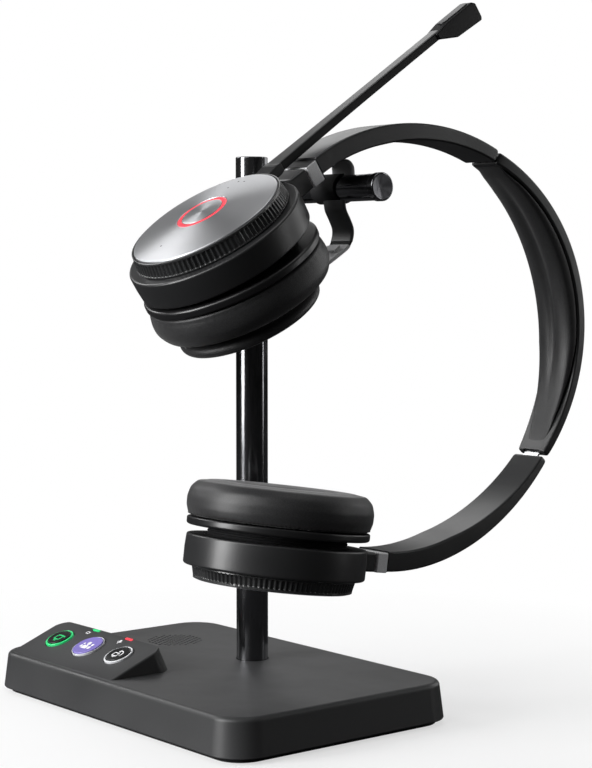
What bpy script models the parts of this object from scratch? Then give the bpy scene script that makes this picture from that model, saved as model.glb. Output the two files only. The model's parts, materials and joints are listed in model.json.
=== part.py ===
"""Office headset resting on its desk stand, as separate pieces.

Lengths are in millimetres and are scaled to metres by MM. The stand's base is centred on the
world origin, its long side along X and its control panel towards -Y. The headband lies in a
plane across X and bows towards +Y. Each ear cup is built in its own frame: +Y' points along
the headband's arm, +Z' points out through the cup's disc.
"""

import math
from types import SimpleNamespace

import bmesh
import bpy
from mathutils import Matrix, Vector

MM = 0.001

# ---- base ----
BASE_L, BASE_D, BASE_H = 148.0, 96.5, 14.6
BASE_CORNER, BASE_DRAFT, BASE_FILLET = 12.1, 1.3, 1.3
SHELL_GAP, SHELL_WALL = 1.5, 2.0

# ---- control panel: a wedge on the base ----
WEDGE_X0, WEDGE_X1 = -66.0, -0.5
WEDGE_FRONT_Y, WEDGE_TOP_Y, WEDGE_BACK_Y = -44.6, -21.8, -18.2
WEDGE_TOP_Z = 23.6
BUTTON_Y = -32.1
# name, x, bore radius, how much smaller the cap is, cap material, ring material
BUTTONS = (
    ("answer", -52.7, 5.6, 1.1, "black_plastic", "green_glow"),
    ("meeting", -33.4, 6.5, 0.7, "violet_cap", "white_trim"),
    ("switch", -14.0, 5.7, 1.1, "black_plastic", "white_trim"),
)
LED_Y = -24.2
# name, x, material
LEDS = (("led_battery", -41.5, "green_glow"), ("led_mute", -21.2, "red_glow"))

# ---- base fittings ----
GRILLE_X, GRILLE_Y, GRILLE_R = -44.5, 13.8, 9.6
SLOT_PITCH, SLOT_W, SLOTS_EACH_WAY = 2.4, 1.0, 3
USB_X, USB_HALF = -9.5, 4.4
USB_BACK = BASE_D / 2

# ---- post, rod and strap ----
POST_Y, POST_R, POST_WALL = 16.4, 5.7, 1.7
POST_BOTTOM, POST_TOP = 6.9, 194.8
POST_FILL_R = POST_R - 2.0  # lid and plug inside the tube
ROD_Z, ROD_R, ROD_START, ROD_END = 182.0, 4.45, -1.0, 67.4
BORE_FIT = 0.3
CAP_R, CAP_END, CAP_EDGE = 4.75, 70.2, 0.35
STRAP_X0, STRAP_X1, STRAP_T = 44.6, 55.1, 1.3
STRAP_MID = (STRAP_X0 + STRAP_X1) / 2
STRAP_POINTS = 33
CONTACT_POINT = 27  # the contact sits between this point of the strap's line and the next
# (y, z) along the strap's middle line, from its upper end to its lower end
STRAP_KNOTS = (
    (8.0, 188.0), (11.6, 189.1), (14.2, 187.6), (15.4, 182.0), (15.9, 174.0),
    (16.5, 168.2), (15.4, 163.6), (11.4, 160.4), (5.6, 156.6),
)

# ---- ear cups: radii and heights in the cup's frame ----
DISC_R, HOUSING_R, FLANGE_R, CUSHION_R = 25.6, 30.1, 30.5, 30.8
DISC_UNDER = -1.3
RING_TOP = -0.35
RING_BORE = 24.3
HOUSING_BOTTOM = -15.0
BELLOWS_Z = -16.4
GIMBAL_Z = -13.2
FLANGE_TOP, FLANGE_BOTTOM = -17.8, -20.5
CUSHION_TOP = -20.8
CUSHION_ROUND = 4.2
CALL_HOLE_R = 8.85
PIN_R, PIN_BORE_R = 0.7, 1.0
BLOCK_FOOT_R, BLOCK_R1, ACCENT_R1 = 28.9, 38.2, 44.0
BLOCK_W, PART_GAP = 15.4, 0.3

# ---- boom: distances along the upper cup's +Y' ----
BOOM_W, BOOM_T, BOOM_TOP = 4.3, 2.2, -1.0
BOOM_R0, BOOM_R1, HEAD_R1 = 30.5, 118.0, 139.8
MIC_R = 135.5

# ---- headband: its outer line is a circle with two- and three-fold waves added ----
BAND_X = 48.8
ARM_W, BAND_W, BAND_T = 16.0, 18.0, 4.0
ARC_Y, ARC_Z, ARC_R = 45.6, 128.69, 79.49
ARC_TWO = (2.63, 1.46)  # cosine and sine parts of the two-fold wave
ARC_THREE = (0.75, 0.65)  # cosine and sine parts of the three-fold wave
# Angles on the headband, in degrees from +Y towards +Z
JOINT_UP, JOINT_LOW = 59.9, -33.5
JOINT_GAP = 0.35
BAND_START, BAND_STOP = JOINT_LOW + JOINT_GAP, JOINT_UP - JOINT_GAP
PAD_GAP = 0.3
SLOT_HALF_W, SLOT_HALF_T = 4.0, 0.65
STRIP_HALF_W, STRIP_HALF_T = 3.7, 0.35

# colour, roughness, metallic
LOOKS = {
    "charcoal_plastic": ((0.052, 0.053, 0.056), 0.42, 0.0),
    "charcoal_satin": ((0.040, 0.041, 0.043), 0.36, 0.0),
    "black_plastic": ((0.012, 0.012, 0.013), 0.40, 0.0),
    "black_chrome": ((0.035, 0.035, 0.038), 0.10, 1.0),
    "spun_dark": ((0.16, 0.16, 0.17), 0.28, 1.0),
    "spun_silver": ((0.52, 0.53, 0.55), 0.30, 1.0),
    "silver_plastic": ((0.55, 0.56, 0.58), 0.35, 0.6),
    "cushion_leather": ((0.018, 0.018, 0.020), 0.55, 0.0),
    "rubber_black": ((0.010, 0.010, 0.011), 0.80, 0.0),
    "steel": ((0.48, 0.49, 0.50), 0.32, 1.0),
    "zinc_steel": ((0.40, 0.41, 0.42), 0.45, 1.0),
    "board_green": ((0.02, 0.14, 0.06), 0.50, 0.0),
    "gold_contact": ((0.80, 0.58, 0.22), 0.25, 1.0),
    "green_glow": ((0.05, 0.62, 0.20), 0.35, 0.0),
    "red_glow": ((0.62, 0.05, 0.06), 0.35, 0.0),
    "white_trim": ((0.72, 0.72, 0.74), 0.40, 0.0),
    "violet_cap": ((0.20, 0.16, 0.52), 0.40, 0.0),
    "battery_wrap": ((0.55, 0.57, 0.60), 0.45, 0.2),
    "cone_paper": ((0.03, 0.03, 0.03), 0.75, 0.0),
}

for old in list(bpy.data.objects):
    bpy.data.objects.remove(old, do_unlink=True)

pieces = bpy.data.collections.new("office_headset")
cutters = bpy.data.collections.new("cutters")
for collection in (pieces, cutters):
    bpy.context.scene.collection.children.link(collection)
cutters.hide_render = True


def look(name):
    """The named material, made on first use."""
    found = bpy.data.materials.get(name)
    if found:
        return found
    colour, roughness, metallic = LOOKS[name]
    made = bpy.data.materials.new(name)
    made.use_nodes = True
    shader = made.node_tree.nodes["Principled BSDF"]
    shader.inputs["Base Color"].default_value = (*colour, 1.0)
    shader.inputs["Roughness"].default_value = roughness
    shader.inputs["Metallic"].default_value = metallic
    made.diffuse_color = (*colour, 1.0)
    return made


# ======== frames ========
WORLD = Matrix.Identity(4)
# Takes an outline's (x, y) to (y, z) and pushes it out along X.
SIDEWAYS = Matrix(((0, 0, 1, 0), (1, 0, 0, 0), (0, 1, 0, 0), (0, 0, 0, 1)))


def shifted(x=0.0, y=0.0, z=0.0):
    return Matrix.Translation(Vector((x, y, z)) * MM)


def tilted(degrees):
    """A turn about X."""
    return Matrix.Rotation(math.radians(degrees), 4, "X")


def axes_frame(origin, x, y, z):
    """A frame at origin in mm, with the given unit axes."""
    made = Matrix.Identity(4)
    for column, axis in enumerate((x, y, z)):
        for row in range(3):
            made[row][column] = axis[row]
    for row in range(3):
        made[row][3] = origin[row] * MM
    return made


def cup_frame(y, z, tilt, facing):
    """Facing 1: the disc faces up and the cup leans by tilt. Facing -1: the disc faces down."""
    cosine, sine = math.cos(math.radians(tilt)), math.sin(math.radians(tilt))
    return axes_frame(
        (BAND_X, y, z), (facing, 0, 0), (0, cosine, facing * sine), (0, -sine, facing * cosine))


def panel_frame(x, y):
    """On the control panel's sloping face, +Z' out of it."""
    slope = math.atan2(WEDGE_TOP_Z - BASE_H, WEDGE_TOP_Y - WEDGE_FRONT_Y)
    z = BASE_H + (y - WEDGE_FRONT_Y) * math.tan(slope)
    return shifted(x, y, z) @ tilted(math.degrees(slope))


BAND_FRAME = shifted(BAND_X) @ SIDEWAYS
POST_FRAME = shifted(0, POST_Y)
# +Z' runs along the cradle rod, towards world +X.
ROD_FRAME = shifted(0, POST_Y, ROD_Z) @ Matrix.Rotation(math.radians(90), 4, "Y")

UPPER = SimpleNamespace(
    name="upper",
    frame=cup_frame(y=-40.3, z=171.5, tilt=34.0, facing=1),
    lean=-3.6,  # degrees the ear pad turns on the gimbal
    disc_hole=CALL_HOLE_R,
    crown=2.4,  # height of the disc's middle
    ring_height=4.95,
    block_mid=-9.7,
    block_half=3.7,
    roll_z=-32.2,  # depth of the cushion's main roll
    face_z=-36.3,  # depth of the ear face
    face_r=25.4,  # radius of the ear face
    joint=JOINT_UP,
    away=1,  # sense of angles leading from the headband's middle to this joint
    tip=126.6,  # angle of the headband's line at the cup
    arm_depths=(4.6, 6.3),  # arm thickness at the joint and at the cup
    strip_depth=2.2,
)
LOWER = SimpleNamespace(
    name="lower",
    frame=cup_frame(y=-13.1, z=50.4, tilt=8.0, facing=-1),
    lean=0.0,
    disc_hole=0.0,
    crown=0.5,
    ring_height=4.1,
    block_mid=-10.3,
    block_half=3.35,
    roll_z=-32.3,
    face_z=-32.9,
    face_r=26.6,
    joint=JOINT_LOW,
    away=-1,
    tip=-100.6,
    arm_depths=(3.2, 7.0),
    strip_depth=1.7,
)
CUPS = (UPPER, LOWER)


# ======== building blocks ========
# A body with a paint is a piece of the headset; one without is a cutter or a form to join.
def home(paint):
    return pieces if paint else cutters


def dress(obj, paint):
    """Gives a piece its one material and shows a cutter as wire."""
    if paint:
        obj.data.materials.clear()
        obj.data.materials.append(look(paint))
    else:
        obj.display_type = "WIRE"
    return obj


def mesh_object(name, mesh, matrix, paint):
    obj = bpy.data.objects.new(name, mesh)
    home(paint).objects.link(obj)
    dress(obj, paint)
    obj.matrix_world = matrix
    return obj


def bmesh_object(name, work, matrix, paint):
    mesh = bpy.data.meshes.new(name)
    work.to_mesh(mesh)
    work.free()
    return mesh_object(name, mesh, matrix, paint)


def smooth(obj):
    for polygon in obj.data.polygons:
        polygon.use_smooth = True
    obj.data.set_sharp_from_angle(angle=math.radians(35.0))
    return obj


def bake(obj):
    """Freezes an object's modifiers or its curve into a welded mesh of the same name."""
    name, matrix, group = obj.name, obj.matrix_world.copy(), obj.users_collection[0]
    bpy.context.view_layer.update()
    graph = bpy.context.evaluated_depsgraph_get()
    mesh = bpy.data.meshes.new_from_object(obj.evaluated_get(graph))
    work = bmesh.new()
    work.from_mesh(mesh)
    bmesh.ops.remove_doubles(work, verts=work.verts, dist=1e-7)
    bmesh.ops.recalc_face_normals(work, faces=work.faces)
    work.to_mesh(mesh)
    work.free()
    bpy.data.objects.remove(obj, do_unlink=True)
    made = bpy.data.objects.new(name, mesh)
    group.objects.link(made)
    made.matrix_world = matrix
    return made


def finish(obj):
    """Bakes a piece, keeps its first material on every face and smooths it."""
    material = obj.data.materials[0]
    made = bake(obj)
    made.data.materials.clear()
    made.data.materials.append(material)
    for polygon in made.data.polygons:
        polygon.material_index = 0
    return smooth(made)


def turned(name, profile, matrix, paint=None, steps=48):
    """A body of revolution about the frame's Z.

    The profile's (radius, z) points run from the top down the outer side. It is closed on
    itself unless it starts on the axis.
    """
    edges = [(i, i + 1) for i in range(len(profile) - 1)]
    if profile[0][0] != 0:
        edges.append((len(profile) - 1, 0))
    mesh = bpy.data.meshes.new(name)
    mesh.from_pydata([(r * MM, 0, z * MM) for r, z in profile], edges, [])
    obj = mesh_object(name, mesh, matrix, paint)
    screw = obj.modifiers.new("turn", "SCREW")
    screw.steps = screw.render_steps = steps
    screw.use_merge_vertices = True
    screw.merge_threshold = 1e-6
    screw.use_smooth_shade = True
    return smooth(dress(bake(obj), paint))


def tube(name, radii, heights, matrix, paint=None, steps=48):
    """A straight round body from (inner, outer) radii and (top, bottom) heights."""
    (inner, outer), (top, bottom) = radii, heights
    profile = [(inner, top), (outer, top), (outer, bottom), (inner, bottom)]
    return turned(name, profile, matrix, paint, steps)


def rod(name, start, end, radius, matrix=WORLD, paint=None, steps=24):
    """A round bar between two points of the frame."""
    axis = Vector(end) - Vector(start)
    turn = axis.to_track_quat("Z", "Y").to_matrix().to_4x4()
    return tube(name, (0, radius), (axis.length, 0), matrix @ shifted(*start) @ turn, paint, steps)


def prism(name, outline, depth, matrix, paint=None, holes=()):
    """A flat outline in the frame's XY, pushed out by depth along Z about z=0."""
    curve = bpy.data.curves.new(name, "CURVE")
    curve.dimensions = "2D"
    curve.fill_mode = "BOTH"
    curve.extrude = depth * MM / 2
    for loop in (outline, *holes):
        spline = curve.splines.new("POLY")
        spline.points.add(len(loop) - 1)
        for point, (x, y) in zip(spline.points, loop):
            point.co = (x * MM, y * MM, 0, 1)
        spline.use_cyclic_u = True
    obj = bpy.data.objects.new(name, curve)
    home(paint).objects.link(obj)
    obj.matrix_world = matrix
    bpy.context.view_layer.update()
    return dress(bake(obj), paint)


def box(name, low, high, matrix=WORLD, paint=None):
    """A block between two opposite corners."""
    work = bmesh.new()
    bmesh.ops.create_cube(work, size=1.0)
    sizes = [(b - a) * MM for a, b in zip(low, high)]
    middles = [(a + b) * MM / 2 for a, b in zip(low, high)]
    for vert in work.verts:
        vert.co = [c * size + middle for c, size, middle in zip(vert.co, sizes, middles)]
    return bmesh_object(name, work, matrix, paint)


def stacked(name, levels, paint=None):
    """A closed skin through outlines of equal length, each (points, z)."""
    work = bmesh.new()
    rings = [[work.verts.new((x * MM, y * MM, z * MM)) for x, y in points] for points, z in levels]
    count = len(rings[0])
    for low, high in zip(rings, rings[1:]):
        for i in range(count):
            j = (i + 1) % count
            work.faces.new((low[i], low[j], high[j], high[i]))
    work.faces.new(list(reversed(rings[0])))
    work.faces.new(rings[-1])
    bmesh.ops.recalc_face_normals(work, faces=work.faces)
    return bmesh_object(name, work, WORLD, paint)


def bevel(obj, width, segments=2, angle=40.0):
    made = obj.modifiers.new("edge", "BEVEL")
    made.width = width * MM
    made.segments = segments
    made.limit_method = "ANGLE"
    made.angle_limit = math.radians(angle)
    return obj


def boolean(obj, other, operation):
    made = obj.modifiers.new(operation.lower(), "BOOLEAN")
    made.operation = operation
    made.solver = "EXACT"
    made.object = other


def join(obj, other):
    boolean(obj, other, "UNION")


def cut(obj, other):
    boolean(obj, other, "DIFFERENCE")


# ======== outlines ========
def rounded_rect(length, depth, corner, steps=8):
    points = []
    for side_x, side_y, start in ((1, 1, 0), (-1, 1, 90), (-1, -1, 180), (1, -1, 270)):
        centre_x = side_x * (length / 2 - corner)
        centre_y = side_y * (depth / 2 - corner)
        for i in range(steps + 1):
            angle = math.radians(start + 90 * i / steps)
            points.append((centre_x + corner * math.cos(angle),
                           centre_y + corner * math.sin(angle)))
    return points


def base_outline(inset, corner_cut):
    """The base's plan moved in by inset, its corner radius reduced by corner_cut."""
    return rounded_rect(BASE_L - 2 * inset, BASE_D - 2 * inset, BASE_CORNER - corner_cut)


def post_circle(radius, steps=32):
    """A circle about the post, in plan."""
    angles = [2 * math.pi * i / steps for i in range(steps)]
    return [(radius * math.cos(a), POST_Y + radius * math.sin(a)) for a in angles]


def span(start, end, count):
    return [start + (end - start) * i / (count - 1) for i in range(count)]


# ======== base ========
def cut_panel_bores(shell):
    for i, (_, x, radius, *_) in enumerate(BUTTONS):
        bore_r = radius + 0.02
        cut(shell, tube(f"bore_button_{i}", (0, bore_r), (2.0, -6.0),
                        panel_frame(x, BUTTON_Y), steps=28))
    for i, (_, x, _) in enumerate(LEDS):
        cut(shell, box(f"bore_led_{i}", (-2.4, -0.75, -4.5), (2.4, 0.75, 2.0),
                       panel_frame(x, LED_Y)))


def cut_grille(shell):
    """Slots along Y, as long as a circle allows, side by side along X."""
    grille = shifted(GRILLE_X, GRILLE_Y, BASE_H)
    for i in range(-SLOTS_EACH_WAY, SLOTS_EACH_WAY + 1):
        x = i * SLOT_PITCH
        half = math.sqrt(GRILLE_R**2 - x**2) * 0.92
        cut(shell, box(f"grille_slot_{i + SLOTS_EACH_WAY}", (x - SLOT_W / 2, -half, -5),
                       (x + SLOT_W / 2, half, 2), grille))


def base_shell():
    """The hollow upper shell with its control panel, open below."""
    shell = stacked("base_shell", [
        (base_outline(0, 0), SHELL_GAP),
        (base_outline(BASE_DRAFT - 0.15, 1.0), BASE_H - BASE_FILLET),
        (base_outline(BASE_DRAFT + 0.25, 1.4), BASE_H - 0.4 * BASE_FILLET),
        (base_outline(BASE_DRAFT + BASE_FILLET, 2.4), BASE_H),
    ], "charcoal_plastic")
    wedge_frame = shifted((WEDGE_X0 + WEDGE_X1) / 2) @ SIDEWAYS
    wedge_length = WEDGE_X1 - WEDGE_X0
    wedge_root = BASE_H - 0.8
    room_floor = BASE_H - 2.6
    # (y, z) outlines of the wedge and of the hollow inside it
    wedge_side = [
        (WEDGE_FRONT_Y, BASE_H - 0.02),
        (WEDGE_TOP_Y - 0.9, WEDGE_TOP_Z - 0.36),
        (WEDGE_TOP_Y, WEDGE_TOP_Z - 0.1),
        (WEDGE_TOP_Y + 0.6, WEDGE_TOP_Z - 0.7),
        (WEDGE_BACK_Y, wedge_root),
        (WEDGE_FRONT_Y, wedge_root),
    ]
    room_side = [
        (WEDGE_FRONT_Y + 6.0, room_floor),
        (WEDGE_TOP_Y - 1.6, WEDGE_TOP_Z - 2.9),
        (WEDGE_BACK_Y - 2.6, room_floor),
    ]
    join(shell, prism("wedge_form", wedge_side, wedge_length, wedge_frame))
    cut(shell, stacked("base_cavity", [
        (base_outline(SHELL_WALL, SHELL_WALL), 0.0),
        (base_outline(SHELL_WALL + 1.2, SHELL_WALL + 1.0), BASE_H - 2.2),
    ]))
    cut(shell, prism("wedge_room", room_side, wedge_length - 2 * SHELL_WALL, wedge_frame))
    cut_panel_bores(shell)
    cut(shell, rod("bore_post", (0, POST_Y, 5), (0, POST_Y, 20), POST_R + BORE_FIT, steps=40))
    cut_grille(shell)
    bore_half = USB_HALF + 0.4
    cut(shell, box("bore_usb", (USB_X - bore_half, USB_BACK - 5, 5.6),
                   (USB_X + bore_half, USB_BACK + 2, 9.4)))
    finish(shell)


def base_plates():
    """The flat layers under the shell: foot pad, tray and ballast."""
    prism("base_tray", base_outline(2.3, 2.3), 1.7, shifted(z=2.05), "black_plastic",
          [post_circle(POST_R + 4.0)])
    prism("foot_pad", base_outline(2.8, 2.8), 0.9, shifted(z=0.45), "rubber_black")
    prism("ballast_plate", rounded_rect(136, 70, corner=6, steps=4), 3.2, shifted(z=4.9),
          "zinc_steel", [post_circle(POST_R + 0.35)])


def base_board():
    """The circuit board under the panel, with a switch body for each button."""
    board = box("base_board", (-68, -38, 8.4), (-2, -20, 9.9), paint="board_green")
    for i, (_, x, *_) in enumerate(BUTTONS):
        join(board, box(f"switch_body_{i}", (x - 2.6, BUTTON_Y - 0.6, 9.0),
                        (x + 2.6, BUTTON_Y + 4.4, 11.6)))
    finish(board)


def usb_socket():
    mouth_half = USB_HALF - 0.5
    socket = box("usb_socket", (USB_X - USB_HALF, USB_BACK - 10.5, 6.0),
                 (USB_X + USB_HALF, USB_BACK - 1.2, 9.1), paint="steel")
    bevel(socket, 1.0, segments=3)
    cut(socket, box("usb_mouth", (USB_X - mouth_half, USB_BACK - 8.0, 6.6),
                    (USB_X + mouth_half, USB_BACK, 8.5)))
    finish(socket)


def base_speaker():
    profile = [(0, 11.9), (10.5, 11.9), (10.5, 10.6), (7.0, 9.4), (0, 9.4)]
    turned("base_speaker", profile, shifted(GRILLE_X, GRILLE_Y), "cone_paper", 32)


def panel_buttons():
    """Each button: a ring, and a cap with a stem down to its switch."""
    for name, x, radius, smaller, cap_paint, ring_paint in BUTTONS:
        place = panel_frame(x, BUTTON_Y)
        cap_r = radius - smaller
        ring_in, ring_out = cap_r + 0.25, radius - 0.28
        turned(f"ring_{name}", [
            (ring_in, 0.55), (radius - 0.32, 0.55), (ring_out, 0.3), (ring_out, -2.2),
            (ring_in, -2.2),
        ], place, ring_paint, 28)
        turned(f"button_{name}", [
            (0, 1.15), (cap_r - 0.8, 1.1), (cap_r - 0.05, 0.8), (cap_r - 0.05, -1.2),
            (1.6, -1.2), (1.6, -6.6), (0, -6.6),
        ], place, cap_paint, 28)


def panel_leds():
    for name, x, paint in LEDS:
        led = box(name, (-2.1, -0.45, -2.6), (2.1, 0.45, 0.12), panel_frame(x, LED_Y), paint)
        bevel(led, 0.15, segments=1)


# ======== post and cradle ========
def post():
    bore_r = POST_R - POST_WALL
    tube_body = turned("post_tube", [
        (POST_R - 0.5, POST_TOP), (POST_R, POST_TOP - 0.5), (POST_R, POST_BOTTOM),
        (bore_r, POST_BOTTOM), (bore_r, POST_TOP - 1.0),
    ], POST_FRAME, "black_chrome", 40)
    cut(tube_body, rod("bore_rod", (-1.5, POST_Y, ROD_Z), (12, POST_Y, ROD_Z),
                       ROD_R + BORE_FIT, steps=32))
    finish(tube_body)
    tube("post_lid", (0, POST_FILL_R), (POST_TOP - 0.05, POST_TOP - 3.0), POST_FRAME,
         "black_chrome", 32)
    foot_r, foot_top, foot_bottom = POST_R - 0.3, 6.6, 3.25
    turned("post_plug", [
        (0, 24.0), (POST_FILL_R, 24.0), (POST_FILL_R, foot_top), (foot_r, foot_top),
        (foot_r, foot_bottom), (0, foot_bottom),
    ], POST_FRAME, "zinc_steel", 32)


def cradle_rod():
    rod("cradle_rod", (ROD_START, POST_Y, ROD_Z), (ROD_END - 0.1, POST_Y, ROD_Z), ROD_R,
        paint="black_chrome", steps=32)
    cap_start = ROD_END + 0.2
    turned("rod_cap", [
        (0, CAP_END - 1.3), (CAP_R - CAP_EDGE, CAP_END), (CAP_R, CAP_END - CAP_EDGE),
        (CAP_R, cap_start), (0, cap_start),
    ], ROD_FRAME, "spun_dark", 32)


def spline_value(before, start, end, after, f):
    """Catmull-Rom value between start and end at fraction f."""
    return 0.5 * (
        2 * start + (end - before) * f
        + (2 * before - 5 * start + 4 * end - after) * f * f
        + (3 * start - before - 3 * end + after) * f**3)


def strap_line():
    """(y, z) points on a smooth line through the strap's knots."""
    last = len(STRAP_KNOTS) - 1
    points = []
    for u in span(0, last, STRAP_POINTS):
        k = min(int(u), last - 1)
        near = (STRAP_KNOTS[max(k - 1, 0)], STRAP_KNOTS[k], STRAP_KNOTS[k + 1],
                STRAP_KNOTS[min(k + 2, last)])
        points.append(tuple(spline_value(*values, u - k) for values in zip(*near)))
    return points


def strip_outline(line, half):
    """The outline of a strip reaching half to each side of a line of (y, z) points."""
    left, right = [], []
    for i, (y, z) in enumerate(line):
        before, after = line[max(i - 1, 0)], line[min(i + 1, len(line) - 1)]
        step_y, step_z = after[0] - before[0], after[1] - before[1]
        size = math.hypot(step_y, step_z)
        side_y, side_z = step_z / size * half, step_y / size * half
        left.append((y - side_y, z + side_z))
        right.append((y + side_y, z - side_z))
    return left + right[::-1]


def cradle_strap():
    """A C open towards -Y, with a hub round the rod and a contact near its lower end."""
    line = strap_line()
    strap = prism("cradle_strap", strip_outline(line, STRAP_T / 2), STRAP_X1 - STRAP_X0,
                  shifted(STRAP_MID) @ SIDEWAYS, "black_plastic")
    join(strap, tube("hub_form", (0, ROD_R + 1.0), (STRAP_X1 - 0.2, STRAP_X0 - 3.0),
                     ROD_FRAME, steps=32))
    cut(strap, rod("bore_strap", (20, POST_Y, ROD_Z), (60, POST_Y, ROD_Z),
                   ROD_R + BORE_FIT, steps=32))
    finish(strap)

    (y0, z0), (y1, z1) = line[CONTACT_POINT:CONTACT_POINT + 2]
    along = Vector((0, y1 - y0, z1 - z0)).normalized()
    across = Vector((1, 0, 0)).cross(along)
    place = axes_frame((STRAP_MID, (y0 + y1) / 2, (z0 + z1) / 2), (1, 0, 0), along, across)
    box("charge_contact", (-3.2, -1.5, -1.5), (3.2, 1.5, -0.95), place, "gold_contact")


# ======== ear cups ========
def ring_edge(cup):
    """Height of the knurled ring's lower edge."""
    return RING_TOP - cup.ring_height


def dome(cup, radius):
    """Height of the disc's crown at radius."""
    return cup.crown * (1 - (radius / DISC_R) ** 2)


def block_outline(cup, start, end, extra=0.0):
    """(radius, z) rectangle at the block's height, taller by extra above and below."""
    low = cup.block_mid - cup.block_half - extra
    high = cup.block_mid + cup.block_half + extra
    return [(start, low), (end, low), (end, high), (start, high)]


def gimbal_frame(cup):
    """The ear pad's frame, leaning on the gimbal."""
    return cup.frame @ shifted(z=GIMBAL_Z) @ tilted(cup.lean)


def cup_disc(cup):
    """The crowned disc with a skirt under its rim."""
    skirt_out, skirt_in, skirt_bottom = 24.0, 22.2, ring_edge(cup) - 0.6
    crown = [(r, dome(cup, r)) for r in (cup.disc_hole, 12.0, 18.0, 22.5, DISC_R - 0.5)]
    turned(f"{cup.name}_disc", crown + [
        (DISC_R, -0.25), (DISC_R, DISC_UNDER), (skirt_out, DISC_UNDER),
        (skirt_out, skirt_bottom), (skirt_in, skirt_bottom), (skirt_in, DISC_UNDER),
        (cup.disc_hole, DISC_UNDER),
    ], cup.frame, "spun_silver", 40)


def upper_fittings():
    """The call button, the light round it and the board in the upper cup."""
    light_in, light_out, button_r, stem_r = 7.35, 8.6, 7.05, 1.5
    turned("call_light", [
        (light_in, dome(UPPER, light_in)), (light_out, dome(UPPER, light_out)),
        (light_out, DISC_UNDER), (light_in, DISC_UNDER),
    ], UPPER.frame, "red_glow", 32)
    crown = [(r, dome(UPPER, r)) for r in (0, 4.0, button_r)]
    turned("call_button", crown + [
        (button_r, DISC_UNDER), (stem_r, DISC_UNDER), (stem_r, -5.2), (0, -5.2),
    ], UPPER.frame, "spun_silver", 32)
    tube("upper_board", (0, 21.5), (-7.0, -8.2), UPPER.frame, "board_green", 28)


def lower_fittings():
    """The battery and the ring-shaped board in the lower cup."""
    battery = box("battery", (-15, -11, -10.0), (15, 11, -6.3), LOWER.frame, "battery_wrap")
    bevel(battery, 0.9)
    tube("lower_board", (12.5, 20.8), (-1.9, -3.1), LOWER.frame, "board_green", 28)


def cup_knurl(cup):
    """The ring round the disc; the upper one carries the slotted root of the boom."""
    edge = ring_edge(cup)
    ring = turned(f"{cup.name}_knurl", [
        (25.9, RING_TOP), (26.25, -0.45), (27.2, edge), (RING_BORE, edge),
        (RING_BORE, -1.65), (25.9, -1.65),
    ], cup.frame, "black_plastic", 48)
    if cup is UPPER:
        root = prism("boom_root_form", [(-3.6, 26.6), (3.6, 26.6), (2.6, 32.5), (-2.6, 32.5)],
                     2.6, cup.frame @ shifted(z=-2.6))
        join(ring, bake(bevel(root, 0.4)))
        slot_half = BOOM_W / 2 + PART_GAP
        cut(ring, box("boom_slot", (-slot_half, BOOM_R0 - PART_GAP, -5.0),
                      (slot_half, 40, 0.5), cup.frame))
    finish(ring)


def cup_housing(cup):
    """The cup's body, with bosses for the gimbal's pins and the block that meets the arm."""
    edge = ring_edge(cup)
    body = turned(f"{cup.name}_housing", [
        (26.6, edge - 0.3), (29.2, edge - 0.3), (29.9, edge - 0.8), (HOUSING_R, edge - 1.7),
        (HOUSING_R - 0.1, -10.5), (HOUSING_R - 0.5, -13.6), (HOUSING_R - 1.2, -14.7),
        (HOUSING_R - 2.0, HOUSING_BOTTOM), (17.3, HOUSING_BOTTOM), (17.3, -13.6),
        (27.6, -13.6), (28.2, -13.0), (28.2, edge - 2.1), (26.6, edge - 2.1),
    ], cup.frame, "charcoal_satin", 40)
    for side in (-1, 1):
        x0, x1 = sorted((side * 17.4, side * 20.6))
        join(body, box(f"{cup.name}_boss_{side}", (x0, -2.2, -14.9), (x1, 2.2, -11.4),
                       cup.frame))
    cut(body, rod(f"{cup.name}_boss_bore", (-21, 0, GIMBAL_Z), (21, 0, GIMBAL_Z), PIN_BORE_R,
                  cup.frame, steps=12))
    block = prism(f"{cup.name}_block_form", block_outline(cup, BLOCK_FOOT_R, BLOCK_R1),
                  BLOCK_W, cup.frame @ SIDEWAYS)
    join(body, bake(bevel(block, 0.8)))
    finish(body)


def cup_accent(cup):
    """The silver piece between the block and the arm."""
    outline = block_outline(cup, BLOCK_R1 + PART_GAP, ACCENT_R1, extra=0.1)
    accent = prism(f"{cup.name}_accent", outline, ARM_W, cup.frame @ SIDEWAYS, "silver_plastic")
    bevel(accent, 0.5)


def cup_bellows(cup):
    """A folded ring between housing and flange, taking half the pad's lean."""
    fold = cup.frame @ shifted(z=BELLOWS_Z) @ tilted(cup.lean / 2)
    turned(f"{cup.name}_bellows", [
        (21.4, 0.55), (23.4, 0.55), (22.5, 0.0), (23.4, -0.55), (21.4, -0.55), (20.6, 0.0),
    ], fold, "rubber_black", 28)


def cup_gimbal(cup):
    """A hoop with pins out to the housing along X' and in to the flange along Y'."""
    place = gimbal_frame(cup)
    hoop = tube(f"{cup.name}_gimbal", (11.6, 15.0), (0.9, -0.9), place, "steel", 28)
    join(hoop, rod(f"{cup.name}_pins_x", (-20.2, 0, 0), (20.2, 0, 0), PIN_R, place, steps=12))
    join(hoop, rod(f"{cup.name}_pins_y", (0, -14.0, 0), (0, 14.0, 0), PIN_R, place, steps=12))
    # Clears the pins from the middle of the hoop.
    cut(hoop, tube(f"{cup.name}_hoop_clear", (0, 7.6), (2.0, -2.0), place, steps=32))
    finish(hoop)


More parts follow.
